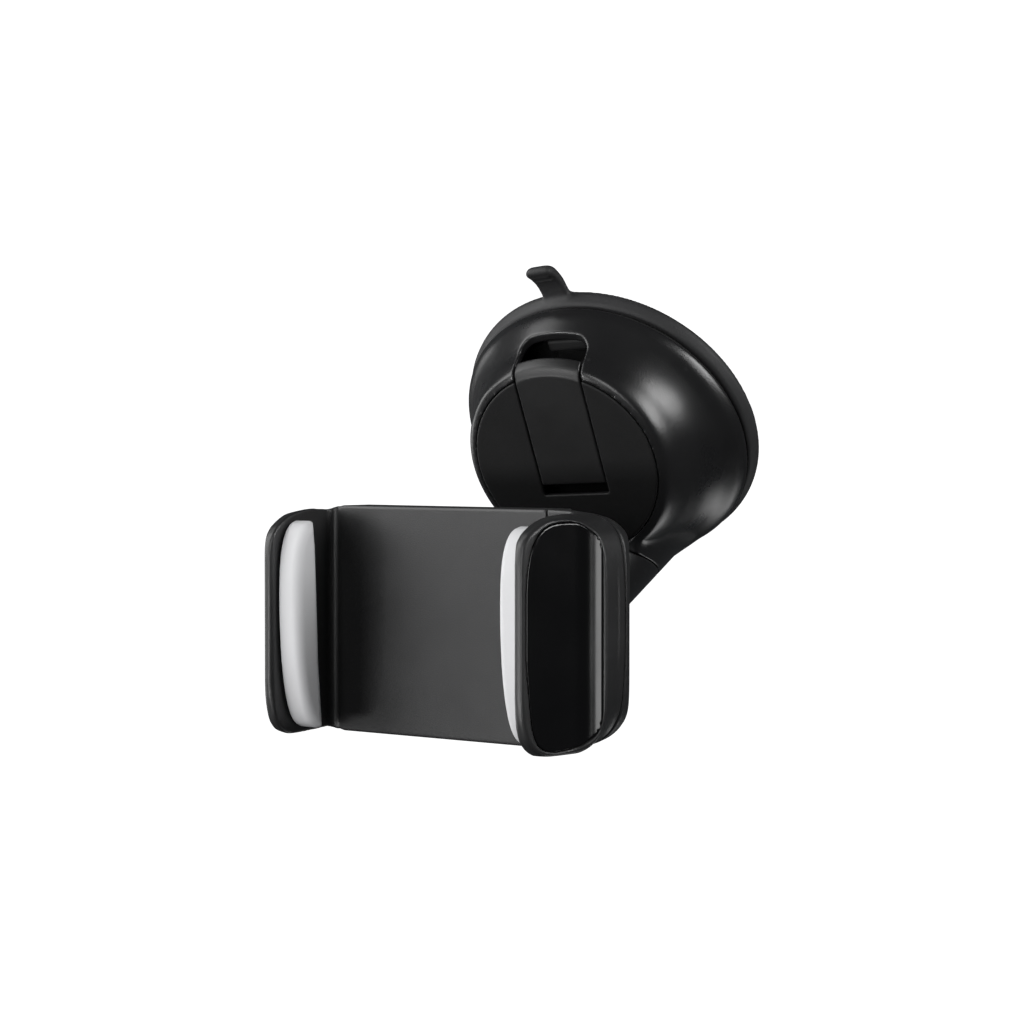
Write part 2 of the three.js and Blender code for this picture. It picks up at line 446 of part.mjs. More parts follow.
// sliding jaw: shell with the finger flare, glossy cap, pad, back cover
const capOut = [[32.9, -21.4], [34.4, -15.0], [35.7, -9.6], [37.0, -7.1], [38.6, -5.7], [40.4, -4.6]];
const capSide = [[-21.0, -5], [-20.6, -10], [-19.9, -16.6], [-19.1, -20.8], [-17.6, -23.2], [-15.5, -24.2], [-12.6, -24.4], [-8.2, -23.7], [-6.2, -22.4], [-5.2, -20.4], [-4.9, -17],
  [-4.9, 17], [-5.2, 20.4], [-6, 22.0], [-7.4, 23.2], [-9.5, 23.6], [-13.6, 23.4], [-16.2, 22.5], [-18.0, 21.0], [-19.4, 18.6], [-20.5, 14.5], [-21.0, 9]];
const grown = (o, g) => { const cy = -13, cz = -0.6; return o.map(([y, z]) => [cy + (y - cy) * (1 + g / 8.2), cz + (z - cz) * (1 + g / 24.5)]); };
{
  const prof = [[27.2, 0], [29.3, -1.0], [JAW_R, -3.2], [JAW_R, JAW_TIP + 1.3], [JAW_R + 0.5, JAW_TIP + 0.3], [JAW_R + 1.2, JAW_TIP], [32.4, JAW_TIP + 0.3],
    ...capOut, [40.9, -4.0], [40.9, -3.2], [BODY_R, 0.2], [BODY_R, PART_Y], [27.0, PART_Y]];
  let m = alongY(outlineR(), 0, PART_Y);
  m = cut(m, alongY(hollowR(SEAM_X - 5), WALL, 20));
  const jaw = both(alongZ(prof, -H, H), alongX(jawOutline, 0, 60), alongY(roundRect(0, 41.2, -H, H, [0, [13.4, 14.8], [10.4, 10.8], 0], 7), -40, 20));
  m = add(m, cut(jaw, alongY(hollowR(20), WALL, 20)));
  // recess for the cap
  const inl = [...capOut.map(([x, y]) => [x + 3, y - 2]), [46, -4.2], [39.6, -3.9], ...capOut.map(([x, y]) => [x - 1.25, y + 0.6]).reverse()];
  m = cut(m, both(alongZ(inl, -H, H), alongX(grown(capSide, 0.3), 0, 60)));
  for (const [x, z] of jawScrews) m = add(m, rodY(2.1, WALL - 0.4, 6.4, x, z, 14));
  for (const [x, z] of jawScrews) m = cut(m, rodY(1.15, WALL, 20, x, z, 12));
  place(cradle, 'jaw_shell', m, 'shell');
  const skin = [...capOut, ...capOut.map(([x, y]) => [x - 0.9, y + 0.4]).reverse()];
  place(cradle, 'jaw_cap', both(alongZ(skin, -H, H), alongX(capSide, 0, 60)), 'gloss');
}
place(cradle, 'right_pad', pad(JAW_R - GAP - PAD_T, JAW_R - GAP), 'pad');
{
  // back of the sliding half, rounded where it meets the end
  const prof = [[SEAM_X + GAP, PART_Y + GAP], [BODY_R, PART_Y + GAP], [BODY_R, 3.4], [39.2, 5.6], [37.2, 7.8], [34.4, 9.8], [31.2, BACK_Y], [SEAM_X + GAP, BACK_Y]];
  const ends = [[PART_Y, -H], [6.0, -H + 0.3], [9.0, -H + 1.2], [BACK_Y, -H + 2.6], [BACK_Y, H - 2.6], [9.0, H - 1.2], [6.0, H - 0.3], [PART_Y, H]];
  let m = both(alongZ(prof, -H, H), alongY(outlineR(), 0, 20), alongX(ends, 0, 60));
  const cav = [[SEAM_X - 5, 0], [BODY_R - 2.0, 0], [BODY_R - 2.0, 3.4], [36.4, 6.2], [31.0, BACK_Y - 2], [SEAM_X - 5, BACK_Y - 2]];
  m = cut(m, both(alongZ(cav, -H, H), alongY(hollowR(SEAM_X - 5), -2, 20), alongX([[-3, -24], [6, -23.8], [9.2, -22.6], [9.2, 22.6], [6, 23.8], [-3, 24]], 0, 60)));
  for (const [x, z] of jawScrews) m = cut(m, rodY(1.2, 0, 20, x, z, 12), rodY(2.3, BACK_Y - 1.2, 20, x, z, 14));
  place(cradle, 'jaw_back_cover', m, 'shell');
}
for (const [i, [x, z]] of jawScrews.entries()) {
  const g = new THREE.LatheGeometry([[0, 3.4], [0.9, 4.0], [0.9, BACK_Y - 1.0], [1.95, BACK_Y - 0.6], [1.95, BACK_Y - 0.15], [0, BACK_Y - 0.15]].map(p => new THREE.Vector2(...p)), 14);
  g.translate(x, 0, z);
  place(cradle, ['jaw_screw_top', 'jaw_screw_bottom'][i], fixed(g), 'black_steel');
}
part.add(cradle);

export default part;
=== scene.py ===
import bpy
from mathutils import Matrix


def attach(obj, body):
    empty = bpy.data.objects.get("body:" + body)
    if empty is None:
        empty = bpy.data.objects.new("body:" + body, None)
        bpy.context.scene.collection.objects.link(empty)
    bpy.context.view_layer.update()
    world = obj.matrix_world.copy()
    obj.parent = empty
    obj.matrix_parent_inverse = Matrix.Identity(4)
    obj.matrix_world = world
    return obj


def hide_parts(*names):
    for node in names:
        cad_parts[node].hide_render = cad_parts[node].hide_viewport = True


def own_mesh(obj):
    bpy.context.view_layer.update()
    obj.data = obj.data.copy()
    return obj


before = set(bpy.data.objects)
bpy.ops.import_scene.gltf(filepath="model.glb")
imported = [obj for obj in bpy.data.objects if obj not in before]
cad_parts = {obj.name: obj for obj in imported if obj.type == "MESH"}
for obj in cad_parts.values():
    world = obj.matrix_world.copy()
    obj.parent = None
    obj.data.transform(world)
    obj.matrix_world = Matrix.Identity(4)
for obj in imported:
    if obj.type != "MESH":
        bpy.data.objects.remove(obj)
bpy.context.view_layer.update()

import math

import bpy
import numpy as np
from mathutils import Vector

MM = 0.001
D = math.pi / 180

# ------------------------------------------------------------------ dimensions
# millimetres, the same as the frame's
BASE_YAW, BASE_PITCH, BASE_ROLL = 13.3, 35.4, 3.0
CRADLE = np.array([7.5, -60.3, -46.0])
FACE_X, FACE_Y, FACE_Z, FACE_R, FACE_TILT = -0.8, 5.4, 26.25, 23.0, 9.5
HINGE_Y, HINGE_Z, PIN_R = 24.5, 17.6, 1.2
ARM_Y, BALL_Z, BALL_R = -21.0, 57.0, 7.0
ARM_R0, ARM_R1 = 13.4, 8.8
H, HT = 25.8, 26.05                            # half height below and above the middle
BODY_L, SEAM_X, BODY_R = -44.8, 20.8, 40.6
WALL, BACK_Y, PART_Y, GAP = 2.2, 11.0, 2.5, 0.3
JAW_L, JAW_R, JAW_TIP = -40.4, 30.2, -22.7

_b, _e, _q = BASE_YAW * D, BASE_PITCH * D, BASE_ROLL * D
_r = np.array([math.cos(_b), math.sin(_b), 0.0])
_n = np.array([math.sin(_b) * math.cos(_e), -math.cos(_b) * math.cos(_e), -math.sin(_e)])
_t = np.cross(_n, _r)
BX = _r * math.cos(_q) + _t * math.sin(_q)
BY = _t * math.cos(_q) - _r * math.sin(_q)
BASE = np.stack([BX, BY, _n], axis=1)          # columns: the base's own axes
BALL = BASE @ np.array([0.0, ARM_Y, BALL_Z])
BL = BALL - CRADLE                             # ball centre in cradle axes


# --------------------------------------------------------- distance-field tools
def smin(a, b, k):
    h = np.clip(0.5 + 0.5 * (b - a) / k, 0, 1)
    return b * (1 - h) + a * h - k * h * (1 - h)


def rmin(a, b, r):
    """Join with a round fillet of radius r."""
    return np.maximum(np.minimum(a, b), r) - np.hypot(np.maximum(r - a, 0), np.maximum(r - b, 0))


def rmax(a, b, r):
    """Intersection with an edge rounded to radius r."""
    return np.minimum(np.maximum(a, b), -r) + np.hypot(np.maximum(r + a, 0), np.maximum(r + b, 0))


def poly2(x, y, pts):
    """Signed distance to a closed outline, negative inside."""
    pts = np.asarray(pts, float)
    d = np.full(x.shape, 1e9)
    s = np.ones(x.shape)
    n = len(pts)
    for i in range(n):
        a, b = pts[i], pts[i - 1]
        ex, ey = b[0] - a[0], b[1] - a[1]
        wx, wy = x - a[0], y - a[1]
        L = ex * ex + ey * ey
        if L < 1e-12:
            continue
        u = np.clip((wx * ex + wy * ey) / L, 0, 1)
        dx, dy = wx - ex * u, wy - ey * u
        d = np.minimum(d, dx * dx + dy * dy)
        c1, c2, c3 = y >= a[1], y < b[1], ex * wy > ey * wx
        flip = (c1 & c2 & c3) | (~c1 & ~c2 & ~c3)
        s = np.where(flip, -s, s)
    return s * np.sqrt(d)


def box3(p, lo, hi, r=0.3):
    lo, hi = np.array(lo, float), np.array(hi, float)
    c, h = (lo + hi) / 2, (hi - lo) / 2 - r
    q = np.abs(p - c) - h
    return np.linalg.norm(np.maximum(q, 0), axis=-1) + np.minimum(q.max(axis=-1), 0) - r


def rect2(x, y, x0, x1, y0, y1, r):
    """Rounded rectangle; r is (x0y0, x1y0, x1y1, x0y1), each a radius or (rx, ry)."""
    cx, cy = (x0 + x1) / 2, (y0 + y1) / 2
    hx, hy = (x1 - x0) / 2, (y1 - y0) / 2
    rr = [(v, v) if np.isscalar(v) else v for v in (r if isinstance(r, (list, tuple)) else [r] * 4)]
    px, py = x - cx, y - cy
    rx = np.where(px < 0, np.where(py < 0, rr[0][0], rr[3][0]), np.where(py < 0, rr[1][0], rr[2][0]))
    ry = np.where(px < 0, np.where(py < 0, rr[0][1], rr[3][1]), np.where(py < 0, rr[1][1], rr[2][1]))
    rx, ry = np.maximum(rx, 1e-3), np.maximum(ry, 1e-3)
    qx, qy = np.abs(px) - hx + rx, np.abs(py) - hy + ry
    inside = np.maximum(qx - rx, qy - ry)
    k = np.hypot(np.maximum(qx, 0) / rx, np.maximum(qy, 0) / ry)
    g = np.hypot(np.maximum(qx, 0) / rx ** 2, np.maximum(qy, 0) / ry ** 2) + 1e-9
    corner = (k - 1) * k / g
    return np.where((qx > 0) & (qy > 0), corner, inside)


def curve(pts, n=6, closed=False):
    """Smooth curve through points."""
    p = np.asarray(pts, float)
    out = []
    m = len(p)
    for i in range(m if closed else m - 1):
        a = p[(i - 1) % m] if closed or i > 0 else 2 * p[0] - p[1]
        b, c = p[i], p[(i + 1) % m]
        d = p[(i + 2) % m] if closed or i + 2 < m else 2 * p[-1] - p[-2]
        for k in range(n):
            t = k / n
            out.append(0.5 * (2 * b + (c - a) * t + (2 * a - 5 * b + 4 * c - d) * t * t + (3 * b - a - 3 * c + d) * t ** 3))
    if not closed:
        out.append(p[-1])
    return [tuple(v) for v in out]


def nets(f, lo, hi, h):
    """Surface of f = 0 as quads, each point moved onto the surface."""
    lo, hi = np.array(lo, float), np.array(hi, float)
    B = 4
    nb = np.ceil((hi - lo) / (h * B)).astype(int) + 1
    n = nb * B
    bc = [lo[i] + (np.arange(nb[i]) * B + (B - 1) / 2) * h for i in range(3)]
    gx, gy, gz = np.meshgrid(*bc, indexing="ij")
    dc = f(np.stack([gx, gy, gz], -1).reshape(-1, 3)).reshape(nb)
    near = np.abs(dc) < 5.5 * h
    G = np.repeat(np.repeat(np.repeat(np.where(dc < 0, -9.0, 9.0), B, 0), B, 1), B, 2)
    bi = np.argwhere(near)
    off = np.stack(np.meshgrid(*[np.arange(B)] * 3, indexing="ij"), -1).reshape(-1, 3)
    idx = (bi[:, None, :] * B + off[None]).reshape(-1, 3)
    val = np.empty(len(idx))
    for s in range(0, len(idx), 400000):
        val[s:s + 400000] = f(lo + idx[s:s + 400000] * h)
    G[idx[:, 0], idx[:, 1], idx[:, 2]] = val
    S = G < 0
    c = [S[i:n[0] - 1 + i, j:n[1] - 1 + j, k:n[2] - 1 + k] for i in (0, 1) for j in (0, 1) for k in (0, 1)]
    cnt = sum(a.astype(np.int8) for a in c)
    act = np.argwhere((cnt > 0) & (cnt < 8))
    ids = np.full(n - 1, -1, np.int64)
    ids[act[:, 0], act[:, 1], act[:, 2]] = np.arange(len(act))
    corner = np.array([(i, j, k) for i in (0, 1) for j in (0, 1) for k in (0, 1)])
    cv = np.stack([G[act[:, 0] + i, act[:, 1] + j, act[:, 2] + k] for i, j, k in corner], 1)
    acc, num = np.zeros((len(act), 3)), np.zeros(len(act))
    for a in range(8):
        for b in range(a + 1, 8):
            if np.abs(corner[a] - corner[b]).sum() != 1:
                continue
            va, vb = cv[:, a], cv[:, b]
            m = (va < 0) != (vb < 0)
            t = np.where(m, va / np.where(m, va - vb, 1), 0)
            acc += m[:, None] * (corner[a] + t[:, None] * (corner[b] - corner[a]))
            num += m
    V = lo + (act + acc / num[:, None]) * h
    F = []
    for ax in range(3):
        o = [0, 0, 0]
        o[ax] = 1
        A = S[:n[0] - o[0], :n[1] - o[1], :n[2] - o[2]]
        Bq = S[o[0]:, o[1]:, o[2]:]
        e = np.argwhere(A != Bq)
        u, w = (ax + 1) % 3, (ax + 2) % 3
        e = e[(e[:, u] > 0) & (e[:, w] > 0) & (e[:, u] < n[u] - 1) & (e[:, w] < n[w] - 1)]
        ins = A[e[:, 0], e[:, 1], e[:, 2]]
        q = []
        for du, dw in ((1, 1), (0, 1), (0, 0), (1, 0)):
            c2 = e.copy()
            c2[:, u] -= du
            c2[:, w] -= dw
            q.append(ids[c2[:, 0], c2[:, 1], c2[:, 2]])
        q = np.stack(q, 1)
        q[~ins] = q[~ins][:, ::-1]
        F.append(q)
    F = np.concatenate(F)
    F = F[(F >= 0).all(1)]
    for _ in range(3):
        d0 = f(V)
        g = np.stack([f(V + np.eye(3)[i] * 0.02) - d0 for i in range(3)], 1) / 0.02
        g2 = np.maximum((g * g).sum(1), 0.25)
        step = np.clip(d0 / g2, -0.5 * h, 0.5 * h)
        V = V - g * step[:, None]
    return V, F


def to_row(V, where):
    return (V @ BASE.T if where == "base" else V + CRADLE) * MM


def make(name, V, F, mat, body, nodes=(), slot=None, smooth=True):
    me = bpy.data.meshes.new(name)
    me.from_pydata([tuple(v) for v in V], [], [tuple(int(i) for i in q) for q in F])
    me.validate()
    me.update()
    if smooth:
        me.polygons.foreach_set("use_smooth", [True] * len(me.polygons))
    o = bpy.data.objects.new(name, me)
    bpy.context.scene.collection.objects.link(o)
    me.materials.append(mat)
    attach(o, body)
    if nodes:
        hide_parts(*nodes)
    return o


def grow(name, f, lo, hi, h, where, mat, body, nodes=(), slot=None):
    V, F = nets(f, lo, hi, h)
    return make(name, to_row(V, where), F, mat, body, nodes, slot)


def lathe(name, pts, seg, where, centre, axis, mat, body, nodes=(), slot=None, smooth=True):
    """Turned piece: pts are (radius, height) along a local axis through centre, first and last on the axis or the outline closed."""
    pts = [tuple(p) for p in pts]
    closed = pts[0][0] > 1e-6
    V, F = [], []
    ax = {"x": 0, "y": 1, "z": 2}[axis]
    u, w = (ax + 1) % 3, (ax + 2) % 3
    ring = []
    for r, z in pts:
        if r < 1e-6:
            p = [0, 0, 0]
            p[ax] = z
            ring.append([len(V)])
            V.append(np.array(p) + centre)
        else:
            ids = []
            for i in range(seg):
                a = 2 * math.pi * i / seg
                p = [0, 0, 0]
                p[ax], p[u], p[w] = z, r * math.cos(a), r * math.sin(a)
                ids.append(len(V))
                V.append(np.array(p) + centre)
            ring.append(ids)
    m = len(ring)
    for k in range(m if closed else m - 1):
        A, Bq = ring[k], ring[(k + 1) % m]
        for i in range(seg):
            j = (i + 1) % seg
            if len(A) == 1 and len(Bq) == 1:
                break
            if len(A) == 1:
                F.append((A[0], Bq[j], Bq[i]))
            elif len(Bq) == 1:
                F.append((A[i], A[j], Bq[0]))
            else:
                F.append((A[i], A[j], Bq[j], Bq[i]))
    o = make(name, to_row(np.array(V, float), where), F, mat, body, nodes, slot, smooth)
    return o


# ------------------------------------------------------------------- materials
def material(name, color, rough, grain=2600, bump=0.02, spread=0.12, rvar=0.06, metallic=0.0, spec=0.5, coat=0.0, wear=0.35, worn=None, aniso=0.0, blotch=90, depth=0.0002):
    m = bpy.data.materials.new(name)
    m.use_nodes = True
    nt = m.node_tree
    nt.nodes.clear()
    N, Lk = nt.nodes.new, nt.links.new
    out, b = N("ShaderNodeOutputMaterial"), N("ShaderNodeBsdfPrincipled")
    Lk(b.outputs["BSDF"], out.inputs["Surface"])
    b.inputs["Metallic"].default_value = metallic
    b.inputs["Specular IOR Level"].default_value = spec
    b.inputs["Coat Weight"].default_value = coat
    b.inputs["Coat Roughness"].default_value = 0.08
    tc = N("ShaderNodeTexCoord")
    # broad mottling of the moulding
    n1 = N("ShaderNodeTexNoise")
    n1.inputs["Scale"].default_value = blotch
    n1.inputs["Detail"].default_value = 4
    Lk(tc.outputs["Object"], n1.inputs["Vector"])
    # fine spark-eroded grain
    n2 = N("ShaderNodeTexNoise")
    n2.inputs["Scale"].default_value = grain
    n2.inputs["Detail"].default_value = 2
    Lk(tc.outputs["Object"], n2.inputs["Vector"])
    geo = N("ShaderNodeNewGeometry")
    edge = N("ShaderNodeMapRange")
    edge.inputs["From Min"].default_value = 0.52
    edge.inputs["From Max"].default_value = 0.62
    edge.inputs["To Max"].default_value = wear
    Lk(geo.outputs["Pointiness"], edge.inputs["Value"])
    lo = [c * (1 - spread) for c in color] + [1]
    hi = [min(1, c * (1 + spread)) for c in color] + [1]
    mx = N("ShaderNodeMix")
    mx.data_type = "RGBA"
    mx.inputs[6].default_value = lo
    mx.inputs[7].default_value = hi
    Lk(n1.outputs["Fac"], mx.inputs[0])
    mw = N("ShaderNodeMix")
    mw.data_type = "RGBA"
    w = worn or [min(1, c * 1.9 + 0.01) for c in color]
    mw.inputs[7].default_value = list(w) + [1]
    Lk(mx.outputs[2], mw.inputs[6])
    Lk(edge.outputs["Result"], mw.inputs[0])
    Lk(mw.outputs[2], b.inputs["Base Color"])
    rr = N("ShaderNodeMapRange")
    rr.inputs["From Min"].default_value = 0.3
    rr.inputs["From Max"].default_value = 0.7
    rr.inputs["To Min"].default_value = max(0.02, rough - rvar)
    rr.inputs["To Max"].default_value = rough + rvar
    Lk(n1.outputs["Fac"], rr.inputs["Value"])
    Lk(rr.outputs["Result"], b.inputs["Roughness"])
    bp = N("ShaderNodeBump")
    bp.inputs["Strength"].default_value = bump
    bp.inputs["Distance"].default_value = depth
    Lk(n2.outputs["Fac"], bp.inputs["Height"])
    Lk(bp.outputs["Normal"], b.inputs["Normal"])
    if aniso:
        b.inputs["Anisotropic"].default_value = aniso
    return m


SHELL = material("satin_black_shell", (0.011, 0.011, 0.0115), 0.29, bump=0.10, rvar=0.03)
CRAD = material("satin_black_cradle", (0.018, 0.018, 0.0185), 0.40, grain=3200, bump=0.14, rvar=0.03)
FACE = material("matt_black_face", (0.006, 0.006, 0.0063), 0.55, grain=3000, bump=0.2, rvar=0.03, spec=0.3)
LEVER = material("black_lever", (0.009, 0.009, 0.0093), 0.42, grain=3000, bump=0.12, rvar=0.03)
GLOSS = material("polished_black_cap", (0.003, 0.003, 0.0033), 0.17, grain=900, bump=0.015, rvar=0.02, wear=0.15)
# inner plastic parts: near black of their own, made darker still so the stem seen through the lever opening reads as
# the shade there; partly painted shade
INNER_DARKENED_FOR_SHADE = material("black_inner_darkened_as_shade", (0.012, 0.012, 0.0125), 0.62, bump=0.15)
NYLON = material("natural_nylon", (0.62, 0.6, 0.54), 0.45, bump=0.06, spread=0.05, wear=0.1, worn=(0.75, 0.73, 0.68))
RUBBER = material("soft_black_rubber", (0.02, 0.02, 0.021), 0.62, grain=1500, bump=0.25, rvar=0.05, spread=0.2)
PAD = material("grey_silicone", (0.64, 0.64, 0.65), 0.6, grain=1800, bump=0.12, spread=0.04, wear=0.25, worn=(0.55, 0.55, 0.56), rvar=0.05)
STEEL = material("bright_steel", (0.62, 0.63, 0.64), 0.24, grain=1600, bump=0.05, metallic=1.0, spread=0.05, wear=0.2, worn=(0.8, 0.8, 0.8))
BSTEEL = material("blackened_steel", (0.09, 0.09, 0.095), 0.34, grain=1600, bump=0.08, metallic=1.0, wear=0.4, worn=(0.4, 0.4, 0.41))


# ------------------------------------------------------------------ base shapes
TK = math.tan(FACE_TILT * D)
CT, ST = math.cos(FACE_TILT * D), math.sin(FACE_TILT * D)
_side = np.array(curve([(5.6, 35.0), (6.4, 34.85), (7.3, 34.45), (8.6, 33.6), (11.0, 31.4), (14.5, 29.2), (18.5, 27.5), (22.5, 26.2), (25.0, 25.0), (26.25, 23.4)], 8))
_top = np.array(curve([(5.6, 35.0), (7.0, 34.95), (8.6, 34.6), (11.0, 33.6), (14.5, 31.6), (18.5, 29.0), (22.5, 26.8), (25.0, 25.0), (26.25, 23.4)], 8))
ZT = np.linspace(5.0, 27.0, 221)
RS = np.where(ZT < 5.6, 35.0, np.interp(ZT, _side[:, 0], _side[:, 1]))
RT = np.where(ZT < 5.6, 35.0, np.interp(ZT, _top[:, 0], _top[:, 1]))
SS, ST_ = np.gradient(RS, ZT), np.gradient(RT, ZT)


def bell(p, inset=0.0, edge=0.9):
    x, Y, Z = p[..., 0], p[..., 1], p[..., 2]
    z = Z
    for _ in range(5):
        s = np.clip((z - 7) / 19.25, 0, 1)
        ss = s * (0.55 + 0.45 * s)
        y = Y - FACE_Y * ss
        z = Z + TK * y * ss
    x = x - FACE_X * ss
    rad = np.hypot(x, y) + 1e-9
    w = np.maximum(0, y / rad) ** 3
    R = np.interp(z, ZT, RS) * (1 - w) + np.interp(z, ZT, RT) * w
    k = np.interp(z, ZT, SS) * (1 - w) + np.interp(z, ZT, ST_) * w
    d = (rad - R) / np.sqrt(1 + k * k) + inset
    return rmax(d, z - 26.25 + inset, edge)


def arm_cone(p, inset=0.0):
    return (np.hypot(p[..., 0], p[..., 1] - ARM_Y) - (ARM_R0 + (ARM_R1 - ARM_R0) * (p[..., 2] - 22) / 26)) * 0.985 + inset


S36, C36 = math.sin(36 * D), math.cos(36 * D)


def beyond(p, off=0.0):
    """Positive beyond the arm's oblique parting line."""
    return -(p[..., 1] - ARM_Y) * S36 + (p[..., 2] - 27.6 - off) * C36


def on_face(p):
    y, z = p[..., 1] - FACE_Y, p[..., 2] - FACE_Z
    return y * CT - z * ST, y * ST + z * CT          # v up the face, h out of it


def F(v, h):
    return (FACE_Y + v * CT + h * ST, FACE_Z - v * ST + h * CT)


def f_housing(p):
    x, y, z = p[..., 0], p[..., 1], p[..., 2]
    out = rmax(bell(p), 5.4 - z, 0.45)
    cone = arm_cone(p)
    d = rmin(out, np.maximum(cone, 6 - z), 2.6)
    d = rmax(d, beyond(p), 0.22)
    d = rmax(d, -bell(p, 2.0, 0.3), 0.3)
    v, h = on_face(p)
    rf = np.hypot(x - FACE_X, v)
    d = rmax(d, -np.maximum(np.maximum(rf - 22.95, -1.5 - h), -cone), 0.2)
    d = rmax(d, -np.maximum(np.maximum(rf - 20.8, -6 - h), -cone), 0.2)
    d = np.maximum(d, -np.maximum(cone + 3.0, 21 - z))
    web = np.maximum(np.maximum(cone + 2.6, np.abs(z - 22.5) - 1.5), beyond(p))
    web = np.maximum(web, 1.3 - np.hypot(x, y - ARM_Y))
    d = np.minimum(d, web)
    hole = np.maximum(rect2(x, z, -8.55, 8.55, 12.8, 70, [3.2, 3.2, 0.1, 0.1]), 18 - y)
    return rmax(d, -hole, 0.5)


def f_face(p):
    x = p[..., 0]
    v, h = on_face(p)
    rf = np.hypot(x - FACE_X, v)
    d = rmax(rf - 22.75, np.abs(h + 0.6) - 0.6, 0.3)
    d = rmax(d, -rect2(x, v, -8.5, 8.5, -7.6, 60, [0.5, 0.5, 0.1, 0.1]), 0.22)
    return rmax(d, -arm_cone(p, -0.3), 0.25)


def f_lever(p):
    x, y, z = p[..., 0], p[..., 1], p[..., 2]
    side = np.abs(x) - 8.2
    v, h = on_face(p)
    # the blade and the tail are cut from the bell's own surface
    d = rmax(bell(p, 0.0, 1.1), -bell(p, 2.4, 0.6), 0.3)
    d = rmax(d, np.maximum(-5.0 - v, 19.2 - z), 0.45)
    d = rmax(d, side, 0.35)
    hub = rmax(np.hypot(y - HINGE_Y, z - HINGE_Z) - 3.0, side, 0.3)
    web = rmax(poly2(y, z, [(22.6, 22.4), (27.2, 21.2), (27.2, 18), (22.0, 18)]), side, 0.3)
    d = rmin(np.minimum(d, web), hub, 0.8)
    return rmax(d, 1.5 - np.hypot(y - HINGE_Y, z - HINGE_Z), 0.2)


CUP_OUT = [(-1, 0.8), (27.2, 0.8), (28.2, 0.55), (28.9, 0.15), (29.6, 0.0), (35.7, 0), (36.1, 0.25), (36.2, 0.7), (36.12, 1.6), (35.8, 2.2), (35.5, 2.7), (35.1, 3.3), (34.5, 3.65), (34.0, 3.7),
           (30.6, 3.7), (30.1, 3.5), (29.8, 2.9), (29.4, 2.2), (28.6, 2.0), (-1, 2.0)]
TAB_OUT = curve([(33.5, 0.25), (36.2, 0.25), (40.2, 0.6), (43.0, 1.6), (45.2, 2.9), (45.9, 4.1), (45.3, 5.1), (43.9, 4.9), (42.2, 3.7), (39.9, 2.6), (37.3, 2.2), (33.5, 2.2)], 5)
CA, SA = math.cos(4.5 * D), math.sin(4.5 * D)


def f_cup(p):
    x, y, z = p[..., 0], p[..., 1], p[..., 2]
    d = poly2(np.hypot(x, y), z, CUP_OUT)
    # the tab turns with the base's clocking
    u, w = x * CA + y * SA, -x * SA + y * CA
    t = rmax(poly2(w, z, TAB_OUT), rect2(u, w, -3.4, 3.4, 32.5, 46.1, [0.1, 0.1, 2.2, 2.2]), 0.7)
    # three grip ribs on the tab
    for c in (41.6, 43.1, 44.6):
        t = smin(t, np.maximum(np.hypot(w - c, z - np.interp(c, [41.6, 43.1, 44.6], [3.35, 4.35, 4.95])) - 0.3, np.abs(u) - 2.1), 0.25)
    return smin(d, t, 1.1)


def f_ring(p):
    r, z = np.hypot(p[..., 0], p[..., 1]), p[..., 2]
    return rmax(np.abs(r - 32.2) - 1.8, np.abs(z - 4.55) - 0.55, 0.2)


def f_frame(p):
    x, y, z = p[..., 0], p[..., 1], p[..., 2]
    d = rmax(np.hypot(x, y) - 26.0, np.abs(z - 13.8) - 1.0, 0.25)
    d = rmax(d, 4.5 - np.hypot(x, y), 0.25)
    d = rmax(d, -np.maximum(np.abs(x) - 9.2, 14 - y), 0.25)
    d = rmax(d, 12 - np.hypot(x, y + 28), 0.25)
    for s in (-1, 1):
        lug = box3(p, (10.4 * s - 1.0, 19.5, 13.5), (10.4 * s + 1.0, 27.0, HINGE_Z + 2.6), 0.35)
        d = rmin(d, lug, 0.6)
    d = rmax(d, 1.5 - np.hypot(y - HINGE_Y, z - HINGE_Z), 0.15)
    # stiffening ribs round the stem guide
    for a in (30, 150, 210, 330):
        u = x * math.cos(a * D) + y * math.sin(a * D)
        w = -x * math.sin(a * D) + y * math.cos(a * D)
        d = rmin(d, rmax(rmax(np.abs(w) - 0.6, np.abs(u - 12) - 5.5, 0.3), np.abs(z - 15.3) - 0.9, 0.3), 0.4)
    return np.maximum(d, bell(p, 2.35, 0.3))


def f_stem(p):
    x, y, z = p[..., 0], p[..., 1], p[..., 2]
    r = np.hypot(x, y)
    d = rmax(r - 13, np.abs(z - 5.5) - 0.8, 0.25)
    d = rmin(d, rmax(r - 4.0, np.abs(z - 11.6) - 5.9, 0.5), 1.0)
    d = rmin(d, box3(p, (-5, 8, 4.7), (5, 28.6, 7.1), 0.4), 0.5)
    return rmin(d, box3(p, (-5, 25.6, 4.7), (5, 28.6, 9.2), 0.6), 0.6)


def f_tip(p):
    x, y, z = p[..., 0], p[..., 1], p[..., 2]
    rb = np.sqrt(x * x + (y - ARM_Y) ** 2 + (z - BALL_Z) ** 2)
    ra = np.hypot(x, y - ARM_Y)
    cone = arm_cone(p)
    d = smin(np.maximum(cone, z - 50), rb - 9.9, 1.4)
    d = rmax(d, -beyond(p, 0.375), 0.22)
    d = np.maximum(d, 8.6 - rb)
    d = rmax(d, z - BALL_Z - 0.6, 0.25)
    for u in (x, y - ARM_Y):
        d = rmax(d, -np.maximum(np.abs(u) - 0.7, BALL_Z - 4.5 - z), 0.15)
    spigot = np.maximum(np.maximum(cone + 3.4, 26 - z), np.maximum(z - 44, -beyond(p, -3.2)))
    d = np.minimum(d, np.where(beyond(p, 0.375) < 1.0, spigot, 9.0))
    d = np.maximum(d, 1.3 - ra)
    return np.maximum(d, -np.maximum(ra - 2.8, 42.1 - z))


